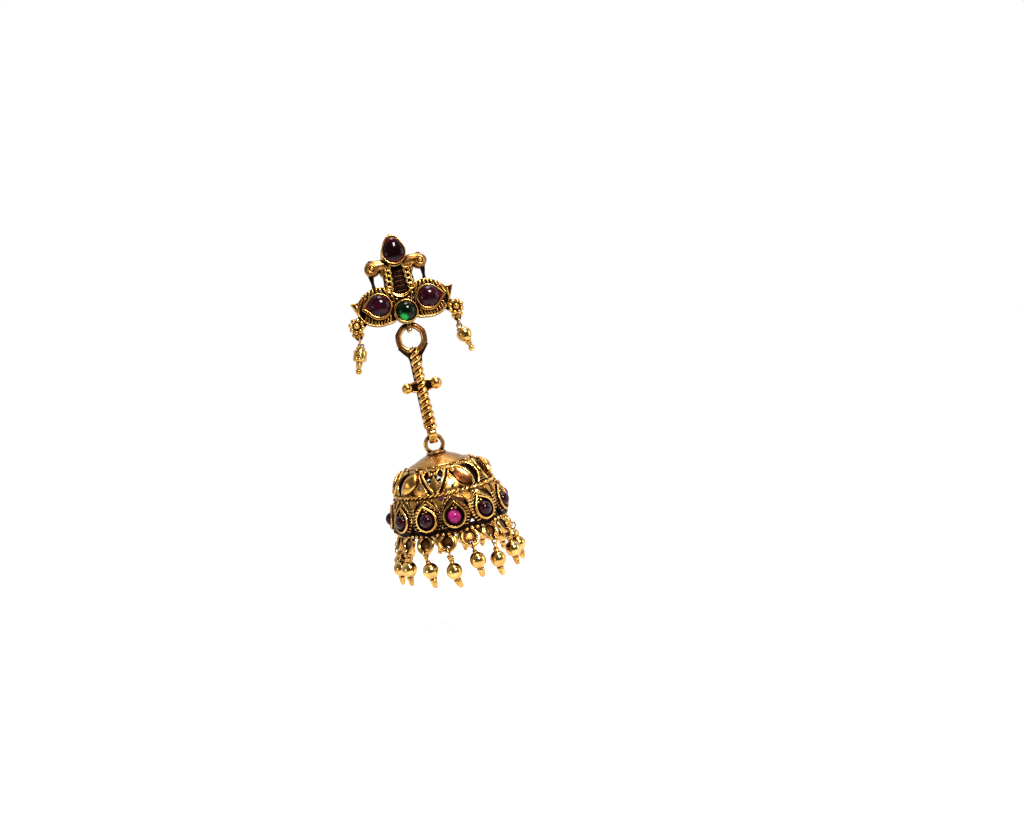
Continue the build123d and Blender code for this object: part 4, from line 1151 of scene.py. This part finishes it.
def domeShell():
    ahead = np.gradient(sideCurve, axis=0)
    ahead /= np.linalg.norm(ahead, axis=1)[:, None]
    inner = sideCurve + dome["thick"] * np.stack([ahead[:, 1], -ahead[:, 0]], 1)
    inner[-1] = (sideCurve[-1][0] - dome["thick"], sideCurve[-1][1])
    shell, cutters = Casting(), Casting()
    shell.lathe(np.vstack([sideCurve, inner[::-4]]), 264)
    for motif, middle in enumerate(motifMiddles):
        for side in (-1, 1):
            for hole in gallery["holes"]:
                wide, tall = hole["right" if side > 0 else "left"]
                line = turned(even([(-wide, 0), (0, -tall), (wide, 0), (0, tall)], 24), side * hole["turn"])
                place = station(middle + side * hole["at"], 8.0, hole["z"])
                punch(cutters, place, line, -2.6, 3.0)
                if motif == 0 and hole["at"] < 30:
                    farGap(cutters, place, line)
    for step in range(settings["count"]):
        for gap in settings["gaps"]:
            wide = step == settings["wideAfter"] and gap is settings["gaps"][0]
            line = np.array(settings["wideGap"] if wide else gap["line"], float)
            punch(cutters, station(30 * step + gap["at"], 10, gap["z"]), line, -1.6, 2.6)
        punch(cutters, settingPlace(step), circle((0, 0), settings["opening"], 36), -2.5, 1.2)
    made = carved(shell, cutters)
    made.stains = [wallShadeAndStain(made.points[0])]
    return made


def wallShadeAndStain(points):      # painted shade on the wall's inside and in the hollows of the gallery, and darker below a line between the settings
    azimuth = np.degrees(np.arctan2(points[:, 0], hangY - points[:, 1]))
    depth = sideR(points[:, 2]) - np.hypot(points[:, 0], points[:, 1] - hangY)
    # painted shade: the inner surface is darkened as if in shadow
    stain = np.clip(depth / 0.45, 0, 1)
    across = np.abs((azimuth - dome["firstMotif"] + 60) % 120 - 60)
    between = np.abs(azimuth % 30 - 15)      # 0 midway between two settings
    edge = np.interp(between, (0, 2, 8, 15), (-43.2, -42.9, -42.2, -41.7))
    stain = np.maximum(stain, np.clip((edge - points[:, 2]) / 0.3, 0, 0.9))
    # painted shade in the gallery's hollows
    for area in gallery["dark"]:
        within = inside(np.stack([across, points[:, 2]], 1), np.array(area["line"], float))
        stain = np.maximum(stain, within * area["stain"])
    return stain


def galleryRelief(casting):
    for motif, middle in enumerate(motifMiddles):
        for side in (-1, 1):
            for spec in gallery["wires"]:
                curve = smooth(spec["path"], 30)
                casting.tube(wallPoint(middle + side * curve[:, 0], curve[:, 1], spec["proud"]),
                             spec["wire"] * tapered(30, (0, 4, 25, 29), (0.7, 1, 1, 0.8)), 10, stain=-0.12)
            addLeaf(casting, middle, side)
            for at, z, r in gallery["beads"]:
                casting.ball(wallPoint(middle + side * at, z, 0.2), r, 12, stain=-0.1)
            if (motif, side) not in gallery["openPetals"]:
                casting.slab(even(gallery["petal"], 50), -0.2, 0.35, 0.3, onWall(middle + side * 60.5, -38.3),
                             stain=0.12)
        casting.slab(even(gallery["tongue"], 60), -0.2, 0.2, 0.12, onWall(middle, -39.1), stain=-0.05)
        for z, count in gallery["dots"] if motif != gallery["openDots"] else ():
            for step in range(count):
                at = 60 + (step - (count - 1) / 2) * gallery["dotStep"]
                casting.ball(wallPoint(middle + at, z, 0.12), gallery["dotR"] * chance.uniform(0.85, 1.15), 8,
                             stain=0.1)


leaf = {        # the domed leaf stands left of each motif's middle, the hollow one right of it; both carry painted shade, darker low down and lighter at the top
    "long": 2.25, "wide": 1.15, "z": -39.1, "swell": 0.85, "leafShadeAt": (-0.9, -0.1, 0.5, 0.75),
    "layers": [(1.0, -0.3), (1.0, 0.3), (0.93, 0.5), (0.8, 0.52), (0.6, 0.45), (0.35, 0.42), (0.06, 0.42)],
    -1: dict(at=31.5, turn=42, edge=0.27, stain=(0.2, -0.1, -0.25, -0.3)),
    1: dict(at=34.0, turn=-48, edge=0.38, stain=(0.4, 0.5, 0.35, 0))}


def addLeaf(casting, middle, side):     # a petal with a bright rolled edge along its upper side
    long, wide, spec = leaf["long"], leaf["wide"], leaf[side]
    bend = (long ** 2 + wide ** 2) / (2 * wide)
    swing = degrees(asin(long / bend))
    half = arc((0, wide - bend), bend, 90 - swing, 90 + swing, 24)
    line = even(np.vstack([half, -half]), 72)
    place = onWall(middle + side * spec["at"], leaf["z"], spec["turn"])
    apex, rings, stains = np.array([0.0, 0.5]), [], []
    for share, depth in leaf["layers"]:
        flat = apex + (line - apex) * share
        if side < 0 and share < 1:
            depth += leaf["swell"] * (1 - share ** 2)
        rings.append(place(flat, depth + 0.22 * np.clip(flat[:, 1], -0.5, 1)))
        # painted shade and highlight: darker low on the leaf, lighter towards its top
        stains.append(np.interp(flat[:, 1], leaf["leafShadeAt"], spec["stain"]))
    casting.rings(rings, np.concatenate(stains))
    edge = even(half * (1.0, 1.05), 36, closed=False)
    casting.tube(place(edge, 0.6), tapered(36, (0, 18, 35), (0.2, spec["edge"], 0.2)), 10, stain=-0.15)
    casting.ball(wallPoint(middle + side * 25.6, -37.75, 0.45), 0.5, 16, stain=-0.2)


def ropeRing(casting):      # two thin wires laid round each other
    at = fullTurn(dome["ropeTurns"] * 12)
    lay, wire = dome["ropeLay"], dome["ropeWire"]
    for strand in range(2):
        twist = dome["ropeTurns"] * at + pi * strand
        r, z = dome["ropeR"] + 0.2 + lay * np.cos(twist), dome["ropeZ"] + lay * np.sin(twist)
        casting.tube(np.stack([r * np.sin(at), hangY - r * np.cos(at), z], 1), wire, 8, closed=True,
                     stain=-0.12)
    casting.hoop((0, hangY, dome["ropeZ"]), (0, 0, 1), dome["ropeR"] + 0.08, 0.26, 120, 8, stain=1.0)


def capEdge(casting):       # worn granules where the cap meets the gallery
    casting.hoop((0, hangY, dome["edgeZ"] + 0.02), (0, 0, 1), dome["edgeR"], 0.2, 96, 8)
    for angle in fullTurn(dome["edgeBeads"]):
        if chance.random() < 0.6:
            at = domePoint(angle, dome["edgeR"] + 0.35 + chance.uniform(-0.08, 0.08), dome["edgeZ"] - 0.22)
            casting.ball(at, dome["edgeBeadR"] * chance.uniform(0.6, 1.15), 8)
    for step in range(12):
        at = wallPoint(dome["firstMotif"] + 30 * step, -36.85, 0.25)
        casting.ball(at, 0.4 * chance.uniform(0.85, 1.1), 12, stain=0.3 if step % 2 else 0.05)


def bail(casting):
    casting.hoop((0, hangY, dome["bailZ"]), (0, 1, 0), dome["bailR"], dome["bailWire"], 56, 12, stain=0.22)
    casting.hoop((0, hangY, -34.26), (0, 0, 1), 1.84, 0.1, 48, 8)
    casting.ball((0, hangY, -34.35), 1.5, 24, (1.0, 0.75, 0.35), stain=0.25)


def halfWidth(line, height):        # how far a closed outline reaches to the side at a height
    a, b = line, np.roll(line, -1, 0)
    hit = (a[:, 1] > height) != (b[:, 1] > height)
    if not hit.any():
        return 0.0
    a, b = a[hit], b[hit]
    return float(np.max(a[:, 0] + (height - a[:, 1]) * (b[:, 0] - a[:, 0]) / (b[:, 1] - a[:, 1])))


medal = {       # distance outwards, depth and stain of each section's rows
    "border": [(0, -0.75, 1.3), (0, -0.5, 1.3), (-0.1, -0.42, 1.3), (-0.85, -0.42, 1.3), (-0.85, -0.75, 1.3)],
    "bezel": [(0.06, -0.7, 1.0), (0.04, 0.1, 0.8), (0.03, 0.36, 0.1), (-0.03, 0.5, -0.05),
              (-0.15, 0.56, -0.12), (-0.3, 0.53, -0.05), (-0.39, 0.4, 0.1), (-0.45, 0.0, 0.25),
              (-0.5, -0.3, 0.4)],
    "ribFrom": -1.7, "ribTo": 3.4, "ribStep": 0.54, "ribWire": 0.15, "edgeWire": 0.12,
    "grains": [(-0.36, 1.42, 0.27), (0.3, 1.52, 0.3), (0.0, 1.98, 0.22)]}


def medallion(casting, step):       # a pear bezel on a ribbed border
    place, lean = settingPlace(step), settings["lean"][step]
    pearR, tip = settings["pearR"], settings["pearTip"]
    pear = turned(pearLine(pearR, tip, 72), lean)
    border = pearLine(settings["borderR"], settings["borderTip"], 90)
    start = 180 - degrees(asin((pearR - 0.18) / (tip - 0.18))) + lean       # where the pear's line starts
    back = turned(circle((0, 0), settings["openBack"], 72), start)
    casting.section(border, medal["border"], place)
    edge = grown(border, -0.08)
    worn = np.interp(edge[:, 1], (-1.6, 0.2), (0.9, 0.15))
    casting.tube(place(edge, -0.25), medal["edgeWire"], 7, closed=True, stain=np.repeat(worn, 7))
    shells = [place(grown(pear, by), depth) for by, depth, _ in medal["bezel"]]
    shells += [place(back, -0.42), place(back, -0.6)]
    casting.rings(shells, np.repeat([row[2] for row in medal["bezel"]] + [0.5, 0.9], 72), along=True)
    for height in np.arange(medal["ribFrom"], medal["ribTo"], medal["ribStep"]):
        near, far = halfWidth(grown(pear, 0.02), height), halfWidth(grown(border, -0.1), height)
        fall = np.interp(height, (0.5, 2.6), (0.06, 0.42))
        for side in (-1, 1):
            if far - near > 0.15:
                ends = [(side * near, height + fall), (side * far, height - fall * 0.4)]
                casting.bar(*place(ends, np.array([-0.06, -0.2])), medal["ribWire"], 6, stain=-0.15)
    for x, y, r in medal["grains"]:
        casting.ball(place(turned([(x, y)], lean), 0.12)[0], r, 12, stain=-0.1)


def bandDetail(casting):
    for step in range(settings["count"]):
        medallion(casting, step)
        if step in settings["plain"]:
            continue
        gap = 30 * step + 15
        for row in range(6):
            reach = np.interp(row, (0, 2, 5), (2.6, 3.6, 2.0))
            ends = wallPoint(np.array([gap - reach, gap + reach]), -43.45 - 0.54 * row, 0.16)
            casting.bar(*ends, medal["ribWire"], 6, stain=-0.15)
        for side in (-1, 1):
            line = smooth([(gap + side * 6.4, -41.85), (gap + side * 0.6, -43.95)], 12)
            casting.tube(wallPoint(*line.T, 0.08), 0.13, 7, stain=0.2)
            casting.ball(wallPoint(gap + side * 7.0, -42.1, 0.18), 0.22, 9, stain=0.1)


def rim(casting):
    casting.lathe(dome["rim"], 128, stain=1.0)
    for angle in fullTurn(dome["rimBeads"]):
        casting.ball(domePoint(angle, dome["rimBeadAt"], dome["rimBeadZ"]),
                     dome["rimBeadR"] * chance.uniform(0.92, 1.04), 10, stain=-0.15)


loops = {"count": 16, "first": 7.5, "r": 1.56, "wire": 0.36, "beadWire": 0.13, "at": 10.97, "z": -49.85,
         "tilt": 24, "discR": 1.24, "notchR": 0.74}


def loopAzimuth(step):
    return loops["first"] + 360 / loops["count"] * step


def castLoops(casting):     # each loop holds a thin disc with room for the pin's eye
    ring = circle((0, 0), loops["r"], 40)
    disc = np.vstack([arc((0, 0), loops["discR"], -70, 250, 60), arc((0, 0), loops["notchR"], 254, 286, 9)])
    for step in range(loops["count"]):
        place = station(loopAzimuth(step), loops["at"], loops["z"], loops["tilt"])
        casting.tube(place(ring * (1.0, 1.02), 0.0), loops["wire"], 10, closed=True, stain=0.1)
        casting.tube(place(ring * 0.77, 0.1), loops["beadWire"], 6, closed=True, stain=-0.18)
        casting.slab(even(disc, 60), -0.3, -0.1, 0.08, place, stain=0.34)
        casting.rod(*place([(-0.75, 1.35), (0.75, 1.35)], 0.0), 0.38, stain=0.5)


cap, domeCasting = Casting(), Casting()
capLine = np.vstack([dome["cap"], smooth(dome["capOuter"], 24), dome["capInner"]])
cap.lathe(capLine, 128, dome["capStain"], solid=False)
cap.join(domeShell())
for addPart in (galleryRelief, ropeRing, capEdge, bail, bandDetail, rim, castLoops):
    addPart(domeCasting)
capPiece = cap.make("domeWall", finishes["brownGold"], 38)
domePiece = domeCasting.make("domeCasting", finishes["castGold"])
for piece in (capPiece, domePiece):
    attach(piece, "dome", "jhumka_dome")
print("dome made", len(capPiece.data.polygons), len(domePiece.data.polygons))

for step in range(settings["count"]):
    place, isPink = settingPlace(step), step in settings["pink"]
    r = settings["pinkR" if isPink else "ballR"]
    line = circle((0, -0.05), r, 72)
    stone = Casting()
    stone.rings([place(line * cos(t), 0.1 + r * sin(t)) for t in np.radians(np.linspace(-18, 88, 22))])
    piece = stone.make(f"bandStone{step + 1:02d}", finishes["pinkStone" if isPink else "purpleStone"], 70)
    attach(piece, "dome", f"dome_stone_{step + 1:02d}")
print("band stones made")


# tassels: every bead hangs on its own pin

tassel = {"eyeR": 0.75, "wire": 0.17, "gap": 0.04, "beadR": 1.53, "hole": 0.5, "coilR": 0.68, "tail": 1.75,
          "lumpR": 0.88, "necks": {15: "thick", 0: "thin", 1: "open", 14: "thin", 13: "thick", 2: "thick"},
          "otherNecks": ("thin", "thick", "open")}
pins = Casting()
for step in range(loops["count"]):
    tilt, azimuth = radians(loops["tilt"]), loopAzimuth(step)
    lowR, lowZ = loops["at"] + loops["r"] * sin(tilt), loops["z"] - loops["r"] * cos(tilt)
    eyeZ = lowZ + loops["wire"] + tassel["wire"] + tassel["gap"] - tassel["eyeR"]
    eyeAt = domePoint(radians(azimuth), lowR, eyeZ)
    beadAt = nodeMiddle(f"tassel_bead_{step + 1:02d}")
    right = np.array([cos(radians(azimuth)), sin(radians(azimuth)), 0])
    hangingPin(pins, eyeAt, beadAt, right, tassel, tassel["beadR"], right * chance.uniform(-0.05, 0.35),
               tassel["necks"].get(step, tassel["otherNecks"][step % 3]))
    profile = beadProfile(tassel["beadR"], tassel["hole"], np.linalg.norm(beadAt - eyeAt))
    stains = np.zeros(len(profile))
    stains[:6], stains[-2:] = (0.9, 0.9, 0.9, 0.75, 0.3, 0.1), 0.9      # painted shade in the hole and round its top
    bead = Casting()
    turnedShape(bead, profile, eyeAt, beadAt, 40, stains)
    piece = bead.make(f"tasselBead{step + 1:02d}", finishes["beadGold"], 50)
    attach(piece, "dome", f"tassel_bead_{step + 1:02d}")
pinPiece = pins.make("tasselPins", finishes["wireGold"])
attach(pinPiece, "dome", "tassel_pins")
print("tassels made", len(pinPiece.data.polygons))
